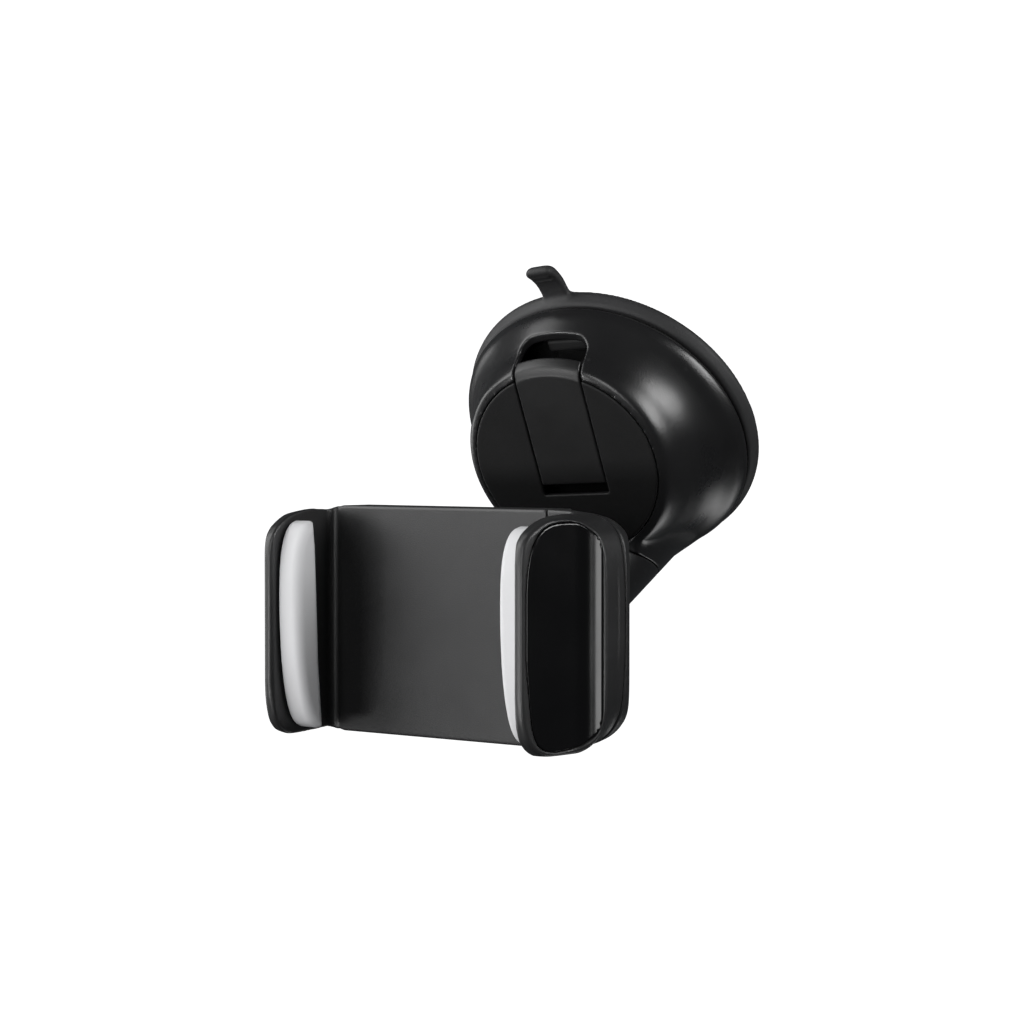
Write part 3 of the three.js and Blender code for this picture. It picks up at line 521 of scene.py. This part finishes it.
_a = LIP = 72 * D
R0, H0 = 7.35 * math.sin(_a), 7.35 * math.cos(_a)
KL = H0 / R0
NUT_OUT2 = [(10.2, -7.5), (11.6, -7.5), (12.1, -7.3), (12.4, -6.7)] + [(12.4, 12.4 * KL - 1.2), (12.1, 12.1 * KL - 0.5), (11.4, 11.4 * KL - 0.1), (R0 + 0.5, H0 + 0.12), (R0 + 0.1, H0 - 0.05), (7.4, 1.2), (7.5, 1.0), (10.2, 1.0)]


def f_nut(p):
    x, y, z = p[..., 0], p[..., 1] - ARM_Y, p[..., 2] - BALL_Z
    r = np.hypot(x, y)
    d = poly2(r, z, NUT_OUT2)
    a = np.arctan2(y, x)
    step = 2 * math.pi / 18
    aa = (a + step / 2) % step - step / 2
    g = np.hypot(r * np.sin(aa), r * np.cos(aa) - 12.95) - 0.95
    g = np.maximum(g, np.abs(z + 2.2) - 4.2)
    return rmax(d, -g, 0.3)


SEAT_IN, SEAT_OUT = 7.3, 8.3


def f_seat(p):
    x, y, z = p[..., 0], p[..., 1] - ARM_Y, p[..., 2] - BALL_Z
    r = np.sqrt(x * x + y * y + z * z)
    k = math.cos(108 * D)
    return rmax(np.abs(r - 7.8) - 0.5, z - r * k, 0.2)


def f_stud(p):
    x, y, z = p[..., 0] - BL[0], p[..., 1], p[..., 2] - BL[2]
    rb = np.sqrt(x * x + (y - BL[1]) ** 2 + z * z)
    r = np.hypot(x, z)
    neck = rmax(r - 2.5, np.abs(y - (12.6 + BL[1]) / 2) - (BL[1] - 12.6) / 2, 0.2)
    d = smin(rb - BALL_R, neck, 1.2)
    fl = rmax(r - np.interp(y, [12.8, 14.8], [5.2, 3.4]), np.abs(y - 13.8) - 1.0, 0.3)
    d = rmin(d, fl, 0.8)
    return np.minimum(d, rmax(r - 2.0, np.abs(y - 10.1) - 2.9, 0.3))


# ---------------------------------------------------------------- cradle shapes
SCREWS = [(-37.5, 20.5), (-37.5, -20.5), (13.0, 22.2), (13.0, -22.2)]
JSCREWS = [(25.4, 20.2), (25.4, -20.2)]


def out_l(x, z, g=0.0):
    return rect2(x, z, BODY_L + g, SEAM_X, -H + g, HT - g, [6 - g, 0.2, 0.2, 6 - g])


_end = curve([(25, -H + 0.05), (29, -25.1), (33.2, -23.7), (36.6, -21.3), (38.9, -17.9), (39.9, -14.5), (40.4, -10.1), (40.7, -5), (40.8, 0), (40.8, 7.3), (40.5, 13.6), (39.9, 18.0), (38.9, 20.7), (37.4, 22.6), (35.4, 24.0), (33.4, 24.8), (30.4, 25.4), (27, 25.85)], 5)
OUT_R = [(SEAM_X + GAP, -H)] + _end + [(SEAM_X + GAP, HT)]
OUT_RX = [(5, -H)] + _end + [(5, HT)]
# towards the finger tip the lower corner is fuller
_low = curve([(25, -H), (31, -H), (34, -25.5), (36.5, -24.7), (38.6, -23.3), (40.1, -21.2), (40.8, -18.0), (41.0, -12.0), (40.9, -5)], 5)
_i = [k for k, q in enumerate(_end) if q[1] > -4.9][0]
OUT_J = [(5, -H)] + _low + _end[_i:] + [(5, HT)]


def out_r(x, z, g=0.0):
    return poly2(x, z, OUT_R) + g


def hollow_r(x, z):
    return poly2(x, z, OUT_RX) + 1.9


def jaw_side(top, low):
    return [(30, -H)] + curve(low, 5) + curve(top, 5)[::-1] + [(30, HT)]


JAW_SIDE = jaw_side([(3, HT), (-4.4, HT - 0.05), (-9.9, 25.3), (-15.4, 24.1), (-19, 22.3), (-20.8, 20.8), (-22, 18.8), (-22.75, 15)],
                    [(3, -H), (-7.3, -H), (-12.2, -H), (-15.4, -25.6), (-17.6, -24.9), (-19.6, -23.5), (-21.0, -21.5), (-22.1, -17.6), (-22.75, -12.8)])


def arc(cx, cy, r, a0, a1, n=8):
    return [(cx + r * math.cos((a0 + (a1 - a0) * i / n) * D), cy + r * math.sin((a0 + (a1 - a0) * i / n) * D)) for i in range(n + 1)]


JAW_LP = curve([(-42.4, -2.2), (-42.2, -1.2), (-41.7, -0.45), (-40.9, 0)], 5) + [(-40.9, 1.4), (-44.8, 1.4)] + curve([(-44.8, -0.4), (-44.3, -8.0), (-43.6, -15.0), (-43.0, -21.0), (-42.6, -22.3), (-41.7, -22.7), (-40.9, -22.5), (-40.4, -21.4)], 5)


def f_front(p):
    x, y, z = p[..., 0], p[..., 1], p[..., 2]
    body = rmax(out_l(x, z), np.abs(y - 2.25) - 2.25, 0.45)
    cav = np.maximum(rect2(x, z, -42.8, 60, -24, 24, [4, 0.1, 0.1, 4]), WALL - y)
    body = rmax(body, -cav, 0.3)
    jaw = rmax(poly2(x, y, JAW_LP), poly2(y, z, JAW_SIDE), 0.6)
    jaw = rmax(jaw, rect2(x, z, BODY_L, 60, -H, HT, [5, 0.1, 0.1, 5]), 0.45)
    d = np.minimum(body, jaw)
    for sx, sz in SCREWS:
        boss = np.maximum(rmax(np.hypot(x - sx, z - sz) - 2.3, np.abs(y - 4.1) - 2.3, 0.2), out_l(x, z, 0.15))
        d = rmin(d, boss, 0.4)
        d = np.maximum(d, -np.maximum(np.hypot(x - sx, z - sz) - 1.15, WALL - y))
    return d


def f_back(p):
    x, y, z = p[..., 0], p[..., 1], p[..., 2]
    d = rmax(out_l(x, z), np.maximum(4.8 - y, 0 * y - 99), 0.3)
    d = rmax(d, y - BACK_Y, 2.6)
    cav = np.maximum(rect2(x, z, -42.8, 60, -24, 24, [4, 0.1, 0.1, 4]), y - (BACK_Y - 2))
    cav = rmax(cav, 0.75 * (y - BACK_Y) + np.abs(z) - 22.6, 0.5)
    d = rmax(d, -cav, 0.4)
    r = np.hypot(x - BL[0], z - BL[2])
    post = rmax(r - np.interp(y, [10, 12.4], [8.5, 7.6]), np.abs(y - 11.2) - 1.2, 0.5)
    d = rmin(d, post, 1.0)
    for s in (-1, 1):
        zz = s * 16.0
        for x0, y0 in ((-40.6, 5.0), (17.4, 5.2)):
            d = rmin(d, box3(p, (x0, y0, zz - 2.6), (x0 + 2, 10.2, zz + 2.6), 0.25), 0.4)
        d = np.maximum(d, -np.maximum(np.hypot(y - 6.2, z - zz) - 1.4, -39.9 - x))
        d = np.maximum(d, -box3(p, (SEAM_X - 3.5, 0, min(12 * s, (24 if s > 0 else -30))), (SEAM_X - 1.2, 5.6, max(12 * s, (24 if s > 0 else -12))), 0.1))
    for sx, sz in SCREWS:
        rr = np.hypot(x - sx, z - sz)
        d = np.maximum(d, 1.2 - rr)
        d = rmax(d, -np.maximum(rr - 2.3, 9.8 - y), 0.2)
        d = np.maximum(d, -np.maximum(np.maximum(rr - 2.7, y - 6.8), np.abs(z) - (H - 1.0)))
    d = np.maximum(d, 2.35 - r)
    # shallow moulded panel on the back, either side of the post
    pan = rect2(x, z, -38.5, 16.0, -19.5, 19.5, 3.0)
    line = np.maximum(np.abs(pan) - 0.35, 10.7 - y)
    line = np.maximum(line, 10.2 - r)
    return rmax(d, -line, 0.15)


CAPOUT = curve([(32.4, -22.4), (32.9, -21.4), (34.4, -15.0), (35.7, -9.6), (37.0, -7.1), (38.6, -5.7), (40.2, -4.65), (40.75, -4.3)], 6)
JAW_RP = arc(27.0, -3.2, 3.2, 90, 0) + curve([(30.2, -21.4), (30.7, -22.4), (31.4, -22.7), (32.4, -22.4)], 5)[:-1] + CAPOUT + curve([(40.75, -4.3), (40.98, -3.8), (40.98, -3.0), (40.9, -1.2), (40.8, 0.2)], 4)[1:] + [(40.8, 2.5), (27.0, 2.5)]
_cs = [(-21.0, -5), (-20.6, -10), (-19.9, -16.6), (-19.1, -20.8), (-17.6, -23.2), (-15.5, -24.2), (-12.6, -24.4), (-8.2, -23.7), (-6.2, -22.4), (-4.9, -20.4), (-4.5, -17)]
_ct = [(-4.5, 17), (-4.9, 20.4), (-6, 22.0), (-7.4, 23.2), (-9.5, 23.6), (-13.6, 23.4), (-16.2, 22.5), (-18.0, 21.0), (-19.4, 18.6), (-20.5, 14.5), (-21.0, 9)]
CAP_SIDE = curve(_cs, 4) + curve(_ct, 4)


def cap_in(a, b):
    return [(x - a, y + b) for x, y in CAPOUT]


def cap_side(y, z, g):
    return poly2(y, z, CAP_SIDE) - g


INL = [(x + 4, y - 3) for x, y in CAPOUT] + [(47, -4.0)] + cap_in(1.25, 0.6)[::-1]


def f_jaw(p):
    x, y, z = p[..., 0], p[..., 1], p[..., 2]
    cavr = hollow_r(x, z)
    cav = np.maximum(cavr, WALL - y)
    body = rmax(rmax(out_r(x, z), np.abs(y - 1.25) - 1.25, 0.4), -cav, 0.25)
    jaw = rmax(poly2(x, y, JAW_RP), poly2(y, z, JAW_SIDE), 0.8)
    t = np.clip((y + 7.5) / 9.0, 0, 1)
    t = t * t * (3 - 2 * t)
    jaw = rmax(jaw, poly2(x, z, OUT_RX) * t + poly2(x, z, OUT_J) * (1 - t) - 0.1, 0.7)
    jaw = np.maximum(jaw, -np.maximum(cavr, WALL - y))
    d = np.minimum(body, jaw)
    d = rmax(d, -np.maximum(poly2(x, y, INL), cap_side(y, z, 0.2)), 0.18)
    for sx, sz in JSCREWS:
        boss = rmax(np.hypot(x - sx, z - sz) - 2.1, np.abs(y - 4.1) - 2.3, 0.2)
        d = rmin(d, boss, 0.4)
        d = np.maximum(d, -np.maximum(np.hypot(x - sx, z - sz) - 1.15, WALL - y))
    return d


SKIN = CAPOUT + [(x - 0.9, y + 0.4) for x, y in CAPOUT][::-1]


def f_cap(p):
    x, y, z = p[..., 0], p[..., 1], p[..., 2]
    return rmax(poly2(x, y, SKIN), cap_side(y, z, 0), 0.2)


def f_jaw_back(p):
    x, y, z = p[..., 0], p[..., 1], p[..., 2]
    prof = [(SEAM_X + GAP, 2.8), (BODY_R + 0.2, 2.8)] + curve([(BODY_R + 0.2, 3.4), (39.4, 5.6), (37.4, 7.8), (34.4, 9.8), (31.2, BACK_Y)], 5) + [(SEAM_X + GAP, BACK_Y)]
    ends = [(2, -H)] + curve([(3.4, -H), (6.0, -H + 0.4), (9.0, -H + 1.4), (BACK_Y, -H + 3.0)], 4) + curve([(BACK_Y, HT - 3.0), (9.0, HT - 1.4), (6.0, HT - 0.4), (3.4, HT)], 4) + [(2, HT)]
    inset = np.interp(y, [3.4, 6, 8.5, 11], [0, 0.5, 1.8, 4.4])
    d = rmax(rmax(poly2(x, y, prof), np.maximum(out_r(x, z), poly2(x, z, OUT_RX) + inset), 0.9), poly2(y, z, ends), 0.9)
    d = rmax(d, 2.8 - y, 0.3)
    cav = [(15, -1), (38.6, -1), (38.6, 3.4), (36.4, 6.2), (31.0, 9.0), (15, 9.0)]
    c = np.maximum(poly2(x, y, cav), hollow_r(x, z) + inset)
    c = np.maximum(c, poly2(y, z, [(-3, -24), (6, -23.6), (9.2, -21.8), (9.2, 21.8), (6, 23.6), (-3, 24)]))
    d = rmax(d, -c, 0.3)
    for sx, sz in JSCREWS:
        rr = np.hypot(x - sx, z - sz)
        d = np.maximum(d, 1.2 - rr)
        d = rmax(d, -np.maximum(rr - 2.3, 9.8 - y), 0.2)
    return d


PAD_SIDE = curve([(-11.3, -24.0), (-13.0, -23.8), (-15.4, -22.4), (-17.3, -19.2), (-18.7, -14.2), (-19.7, -7.5), (-20.2, 0), (-20.3, 7), (-20.1, 12.5), (-19.4, 17), (-18.1, 20.2), (-16.4, 22.1), (-14.2, 22.9)], 5) + [(-13.6, 17), (-12.6, -9)]


def f_pad(x0, x1):
    left = x0 < 0
    def g(p):
        x, y, z = p[..., 0], p[..., 1], p[..., 2]
        u = x - x0 if left else x1 - x                    # 0 at the jaw, 6 at the phone side
        # the left jaw's inner face leans, so its pad is a little deeper at the back
        base = -u - (0.75 * np.clip((y + 20) / 9, 0, 1) if left else 0.0)
        # the working face is slightly crowned along its length and pillowed at its edge
        crown = 0.2 * (z / 24.0) ** 2
        d = rmax(u - 6.0 + crown * 0.5, poly2(y, z, PAD_SIDE), 2.1)
        return rmax(d, base, 0.3)
    return g


def f_screw(cx, cz, y0, y1):
    def f(p):
        x, y, z = p[..., 0] - cx, p[..., 1], p[..., 2] - cz
        r = np.hypot(x, z)
        a = np.arctan2(z, x)
        th = 0.12 * np.cos(2 * math.pi * y / 0.9 - a)        # thread
        d = np.maximum(r - 0.82 - np.where((y < y1 - 1.6) & (y > y0 + 0.5), th, 0) - np.minimum(0, (y - y0 - 1.4) * 0.5), y0 - y)
        d = np.maximum(d, y - y1 + 0.2)
        head = rmax(r - np.interp(y, [y1 - 1.35, y1 - 0.45], [0.9, 1.95]), np.abs(y - y1 + 0.6) - 0.75, 0.12)
        head = rmax(head, r + (y - y1) * 1.4 - 1.9, 0.2)
        d = np.minimum(d, head)
        cross = np.minimum(np.maximum(np.abs(x) - 0.26, np.abs(z) - 1.0), np.maximum(np.abs(z) - 0.26, np.abs(x) - 1.0))
        return np.maximum(d, -np.maximum(cross, y1 - 0.75 - y))
    return f


def f_carriage(p):
    x, y, z = p[..., 0], p[..., 1], p[..., 2]
    d = box3(p, (-35.0, 2.7, -12.0), (34.6, 4.3, 12.0), 0.3)
    for s in (-1, 1):
        d = rmin(d, box3(p, (-35.0, 2.7, min(11 * s, 19.5 * s)), (-29.0, 8.5, max(11 * s, 19.5 * s)), 0.4), 0.5)
        # two long ribs
        d = rmin(d, box3(p, (-28, 2.42, 9.2 * s - 0.5), (30, 3.2, 9.2 * s + 0.5), 0.2), 0.2)
    d = rmin(d, box3(p, (24.0, 2.7, -17), (34.6, 4.3, 17), 0.3), 0.3)
    a = np.arctan2(z - BL[2], x - BL[0])
    slot = np.minimum(np.hypot(x - BL[0], z - BL[2]) - 6.0, np.maximum(np.abs(x - BL[0] - 12) - 12, np.abs(z - BL[2]) - 6.0))
    d = rmax(d, -slot, 0.25)
    for s in (-1, 1):
        d = np.maximum(d, 1.4 - np.hypot(y - 6.2, z - 16.0 * s))
    return d


def f_hexnut(p):
    x, y, z = p[..., 0] - BL[0], p[..., 1], p[..., 2] - BL[2]
    k = np.max([np.abs(x * math.cos(a * D) + z * math.sin(a * D)) for a in (30, 90, 150)], axis=0) - 3.9 * math.cos(30 * D)
    d = rmax(k, np.abs(y - 7.45) - 1.25, 0.12)
    d = np.maximum(d, np.hypot(x, z) + np.abs(y - 7.45) * 0.9 - 4.7)
    return np.maximum(d, 2.3 - np.hypot(x, z) + 0.25 * np.maximum(0, np.abs(y - 7.45) - 1.0) * -2)


# ------------------------------------------------------------------------ build
K = 1.0                     # coarser surfaces while trying things
JOBS = [
    # name, field, low corner, high corner, cell, axes, material, body, nodes, slot
    ("cup_and_tab", f_cup, (-37, -37, -0.6), (37, 47.4, 6.2), 0.42, "base", RUBBER, "base", ("suction_cup",), "rubber"),
    ("cup_backing_ring", f_ring, (-35, -35, 3.6), (35, 35, 5.6), 0.45, "base", INNER_DARKENED_FOR_SHADE, "base", ("cup_ring",), "inner"),
    ("bell_housing", f_housing, (-36.5, -37, 4.6), (36.5, 40, 42), 0.36, "base", SHELL, "base", ("base_housing",), "shell"),
    ("front_face_plate", f_face, (-24.4, -19, 20), (23, 30, 32.4), 0.32, "base", FACE, "base", ("face_plate",), "face"),
    ("bell_inner_frame", f_frame, (-27, -27, 12), (27, 29, 21.5), 0.5, "base", INNER_DARKENED_FOR_SHADE, "base", ("inner_frame",), "inner"),
    ("flush_lock_lever", f_lever, (-9.2, -1, 13.5), (9.2, 32.5, 29), 0.3, "base", LEVER, "lever", ("lock_lever",), "lever"),
    ("cup_pull_stem", f_stem, (-14, -14, 4), (14, 30, 18.5), 0.5, "base", INNER_DARKENED_FOR_SHADE, "stem", ("cup_stem",), "inner"),
    ("arm_tip_socket", f_tip, (-14.5, -36, 19), (14.5, -7, 59), 0.36, "base", SHELL, "base", ("arm_tip",), "shell"),
    ("ribbed_collar_nut", f_nut, (-13.2, ARM_Y - 13.2, 48.5), (13.2, ARM_Y + 13.2, 63), 0.3, "base", SHELL, "collar", ("collar_nut",), "shell"),
    ("socket_seat_liner", f_seat, (-9, ARM_Y - 9, 48), (9, ARM_Y + 9, 56), 0.4, "base", NYLON, "seat", ("ball_seat",), "nylon"),
    ("ball_and_stud", f_stud, (BL[0] - 8, 6.5, BL[2] - 8), (BL[0] + 8, BL[1] + 8, BL[2] + 8), 0.32, "cradle", GLOSS, "stud", ("ball_stud",), "gloss"),
    ("stud_hex_nut", f_hexnut, (BL[0] - 4.6, 5.7, BL[2] - 4.6), (BL[0] + 4.6, 9.2, BL[2] + 4.6), 0.25, "cradle", STEEL, "stud", ("stud_nut",), "steel"),
    ("fixed_front_shell", f_front, (-45.6, -23.5, -26.8), (21.6, 7.4, 26.8), 0.36, "cradle", CRAD, "cradle", ("front_shell",), "cradle"),
    ("fixed_back_cover", f_back, (-45.6, 4.2, -26.8), (21.6, 13.2, 26.8), 0.4, "cradle", CRAD, "cradle", ("back_cover",), "cradle"),
    ("left_grip_pad", f_pad(-40.1, -34.1), (-41.4, -21.2, -24.8), (-33.4, -10.2, 23.8), 0.3, "cradle", PAD, "cradle", ("left_pad",), "pad"),
    ("right_grip_pad", f_pad(23.9, 29.9), (23, -21.2, -24.8), (30.6, -10.2, 23.8), 0.3, "cradle", PAD, "jaw", ("right_pad",), "pad"),
    ("sliding_jaw_shell", f_jaw, (20.2, -23.5, -26.8), (41.9, 7.4, 26.8), 0.32, "cradle", CRAD, "jaw", ("jaw_shell",), "cradle"),
    ("sliding_jaw_cap", f_cap, (30.6, -22.6, -26), (41.6, -3.4, 25), 0.26, "cradle", GLOSS, "jaw", ("jaw_cap",), "gloss"),
    ("sliding_back_cover", f_jaw_back, (20.2, 2.2, -26.8), (41.6, 11.7, 26.8), 0.38, "cradle", CRAD, "jaw", ("jaw_back_cover",), "cradle"),
    ("jaw_slide_carriage", f_carriage, (-35.6, 1.9, -20.2), (35.2, 9.1, 20.2), 0.5, "cradle", INNER_DARKENED_FOR_SHADE, "jaw", ("slide_carriage",), "inner"),
]
for n, (sx, sz) in zip(("left_top", "left_bottom", "right_top", "right_bottom"), SCREWS):
    JOBS.append(("screw_" + n, f_screw(sx, sz, 3.4, 10.85), (sx - 2.3, 3.1, sz - 2.3), (sx + 2.3, 11.1, sz + 2.3), 0.18, "cradle", BSTEEL, "cradle", ("cover_screw_" + n,), "black_steel"))
for n, (sx, sz) in zip(("top", "bottom"), JSCREWS):
    JOBS.append(("screw_jaw_" + n, f_screw(sx, sz, 3.4, 10.85), (sx - 2.3, 3.1, sz - 2.3), (sx + 2.3, 11.1, sz + 2.3), 0.18, "cradle", BSTEEL, "jaw", ("jaw_screw_" + n,), "black_steel"))

from concurrent.futures import ThreadPoolExecutor

with ThreadPoolExecutor(4) as pool:
    order = sorted(range(len(JOBS)), key=lambda i: -np.prod((np.array(JOBS[i][3]) - np.array(JOBS[i][2])) / JOBS[i][4]))
    todo = {i: pool.submit(nets, JOBS[i][1], JOBS[i][2], JOBS[i][3], JOBS[i][4] * K) for i in order}
    made = {i: t.result() for i, t in todo.items()}
OBJ = {}
for i, (name, f, lo, hi, h, where, mat, body, nodes, slot) in enumerate(JOBS):
    V, Fq = made[i]
    OBJ[name] = make(name, to_row(V, where), Fq, mat, body, nodes, slot)


def coil(name, axis_pt, axis, u, w, a0, a1, rad, wire, turns, where, mat, body, nodes, slot, sides=10, per=28):
    """Compression spring with a closed turn at each end."""
    axis_pt, axis, u, w = (np.array(v, float) for v in (axis_pt, axis, u, w))
    n = int((turns + 2) * per)
    t = np.linspace(0, turns + 2, n + 1)
    pitch = (a1 - a0 - 4 * wire) / turns
    s = np.where(t < 1, t * 2 * wire * 0.95, np.where(t > turns + 1, 2 * wire + pitch * turns + (t - turns - 1) * 2 * wire * 0.95, 2 * wire + (t - 1) * pitch)) + a0
    c = axis_pt + np.outer(s, axis) + rad * (np.outer(np.cos(2 * math.pi * t), u) + np.outer(np.sin(2 * math.pi * t), w))
    T = np.gradient(c, axis=0)
    T /= np.linalg.norm(T, axis=1)[:, None]
    R = np.outer(np.cos(2 * math.pi * t), u) + np.outer(np.sin(2 * math.pi * t), w)
    B = np.cross(T, R)
    B /= np.linalg.norm(B, axis=1)[:, None]
    R = np.cross(B, T)
    V, Fq = [], []
    for i in range(n + 1):
        for k in range(sides):
            g = 2 * math.pi * k / sides
            V.append(c[i] + wire * (math.cos(g) * R[i] + math.sin(g) * B[i]))
    for i in range(n):
        for k in range(sides):
            a, b = i * sides + k, i * sides + (k + 1) % sides
            Fq.append((a, a + sides, b + sides, b))
    for base_i, sgn in ((0, 1), (n * sides, -1)):
        ci = len(V)
        V.append(c[0] if sgn == 1 else c[n])
        for k in range(sides):
            a, b = base_i + k, base_i + (k + 1) % sides
            Fq.append((ci, a, b) if sgn == 1 else (ci, b, a))
    return make(name, to_row(np.array(V), where), Fq, mat, body, nodes, slot)


X, Y, Z = (1, 0, 0), (0, 1, 0), (0, 0, 1)
for n, s in (("upper", 1), ("lower", -1)):
    z = 16.0 * s
    lathe("polished_rod_" + n, [(0, -39.6), (0.8, -39.6), (1.1, -39.3), (1.1, -30), (1.1, 0), (1.1, 18.9), (0.8, 19.2), (0, 19.2)], 32, "cradle", np.array([0, 6.2, z]), "x", STEEL, "cradle", ("guide_rod_" + n,), "steel")
    sp = coil("coil_spring_" + n, (0, 6.2, z), X, Y, Z, -28.5, 17.0, 1.78, 0.26, 22, "cradle", STEEL, "cradle", ("jaw_spring_" + n,), "steel")
    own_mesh(sp)
coil("stem_return_spring", (0, 0, 0), Z, X, Y, 6.75, 12.3, 6.1, 0.42, 3.2, "base", STEEL, "base", ("release_spring",), "steel", sides=10, per=40)
lathe("lever_pin_turned", [(0, -11.6), (0.9, -11.6), (1.2, -11.3), (1.2, 11.3), (0.9, 11.6), (0, 11.6)], 32, "base", np.array([0, HINGE_Y, HINGE_Z]), "x", STEEL, "base", ("lever_pin",), "steel")
lathe("arm_screw_turned", [(0, 20.0), (0.35, 20.0), (1.0, 21.2)] + [(1.0 + (0.0 if k % 2 else -0.12), 21.6 + 0.3 * k) for k in range(40)] + [(0.95, 42.3), (2.2, 42.4), (2.4, 42.6), (2.4, 43.5), (2.1, 43.9), (1.3, 44.0), (1.2, 43.2), (0, 43.0)], 28, "base", np.array([0, ARM_Y, 0]), "z", STEEL, "base", ("arm_screw",), "steel")

# ------------------------------------------------------------------------ stage
FLOOR_Z = -0.36


def cove():
    """Floor disc that curves up into a wall all round."""
    prof = [(0.0, 0.0)]
    R, rise = 2.6, 0.9
    prof += [(R * k / 10, 0.0) for k in range(1, 11)]
    prof += [(R + rise * math.sin(a * D), rise * (1 - math.cos(a * D))) for a in range(9, 91, 9)]
    prof += [(R + rise, rise + k * 0.5) for k in range(1, 6)]
    V, Fq = [(0, 0, FLOOR_Z)], []
    seg = 64
    for r, z in prof[1:]:
        V += [(r * math.cos(2 * math.pi * k / seg), r * math.sin(2 * math.pi * k / seg), FLOOR_Z + z) for k in range(seg)]
    for k in range(seg):
        Fq.append((0, 1 + k, 1 + (k + 1) % seg))
    for j in range(len(prof) - 2):
        for k in range(seg):
            a, b = 1 + j * seg + k, 1 + j * seg + (k + 1) % seg
            Fq.append((a, a + seg, b + seg, b))
    me = bpy.data.meshes.new("studio_cove")
    me.from_pydata(V, [], Fq)
    me.polygons.foreach_set("use_smooth", [True] * len(me.polygons))
    o = bpy.data.objects.new("studio_cove", me)
    bpy.context.scene.collection.objects.link(o)
    return o


m = bpy.data.materials.new("pale_floor")
m.use_nodes = True
nt = m.node_tree
pb = nt.nodes["Principled BSDF"]
pb.inputs["Roughness"].default_value = 0.9
pb.inputs["Base Color"].default_value = (0.86, 0.86, 0.86, 1)
pb.inputs["Emission Color"].default_value = (1, 1, 1, 1)
pb.inputs["Emission Strength"].default_value = 1.05
no = nt.nodes.new("ShaderNodeTexNoise")
no.inputs["Scale"].default_value = 3
rg = nt.nodes.new("ShaderNodeMapRange")
rg.inputs["To Min"].default_value = 0.86
rg.inputs["To Max"].default_value = 0.94
nt.links.new(no.outputs["Fac"], rg.inputs["Value"])
nt.links.new(rg.outputs["Result"], pb.inputs["Roughness"])
floor = cove()
floor.data.materials.append(m)
floor.visible_glossy = False
floor.visible_diffuse = False

# camera at the catalogue view
A, E = 40 * D, 1.5 * D
right = np.array([math.cos(A), math.sin(A), 0.0])
back = np.array([math.sin(A) * math.cos(E), -math.cos(A) * math.cos(E), math.sin(E)])
up = np.cross(back, right)
cam_at = (-24.4 * right - 22.2 * up + 700 * back) * MM
cd = bpy.data.cameras.new("camera")
cam = bpy.data.objects.new("camera", cd)
bpy.context.scene.collection.objects.link(cam)
from mathutils import Matrix
M = Matrix([[right[i], up[i], back[i], cam_at[i]] for i in range(3)] + [[0, 0, 0, 1]])
cam.matrix_world = M
cd.sensor_width = 36
cd.lens = 103.36
cd.clip_start, cd.clip_end = 0.02, 20
bpy.context.scene.camera = cam

w = bpy.data.worlds.new("studio")
bpy.context.scene.world = w
w.use_nodes = True
w.node_tree.nodes["Background"].inputs[0].default_value = (0.9, 0.95, 1.0, 1)
w.node_tree.nodes["Background"].inputs[1].default_value = 0.05


def softbox(name, direction, dist, size, power, target=(0.0, -0.04, -0.025), color=(1, 1, 1)):
    """Area light seen from the object along a direction given as right, up, back of the camera."""
    d = direction[0] * right + direction[1] * up + direction[2] * back
    d = Vector(d / np.linalg.norm(d))
    L = bpy.data.lights.new(name, "AREA")
    L.shape = "RECTANGLE"
    L.size, L.size_y = size
    L.energy = power
    L.color = color
    o = bpy.data.objects.new(name, L)
    o.location = Vector(target) + d * dist
    o.rotation_mode = "QUATERNION"
    o.rotation_quaternion = d.to_track_quat("Z", "Y")
    bpy.context.scene.collection.objects.link(o)
    return o


softbox("key_right", (0.83, 0.39, 0.40), 0.9, (0.32, 0.42), 4.8)
softbox("top", (-0.62, 0.76, -0.05), 0.9, (0.4, 0.3), 0.8)
softbox("rim_left", (-0.84, -0.02, -0.46), 0.9, (0.4, 0.6), 2.2)
softbox("wall_left", (-0.985, 0.42, 0.14), 1.1, (0.8, 0.8), 8.4)
softbox("front_left", (-0.77, -0.20, 0.58), 1.1, (0.45, 0.16), 4.2)
softbox("front", (-0.26, 0.08, 0.96), 1.2, (0.34, 0.7), 4.2)
softbox("from_below", (0.50, -0.74, -0.42), 0.9, (0.3, 0.4), 0.9)

bpy.context.scene.view_settings.view_transform = "Standard"
bpy.context.view_layer.update()
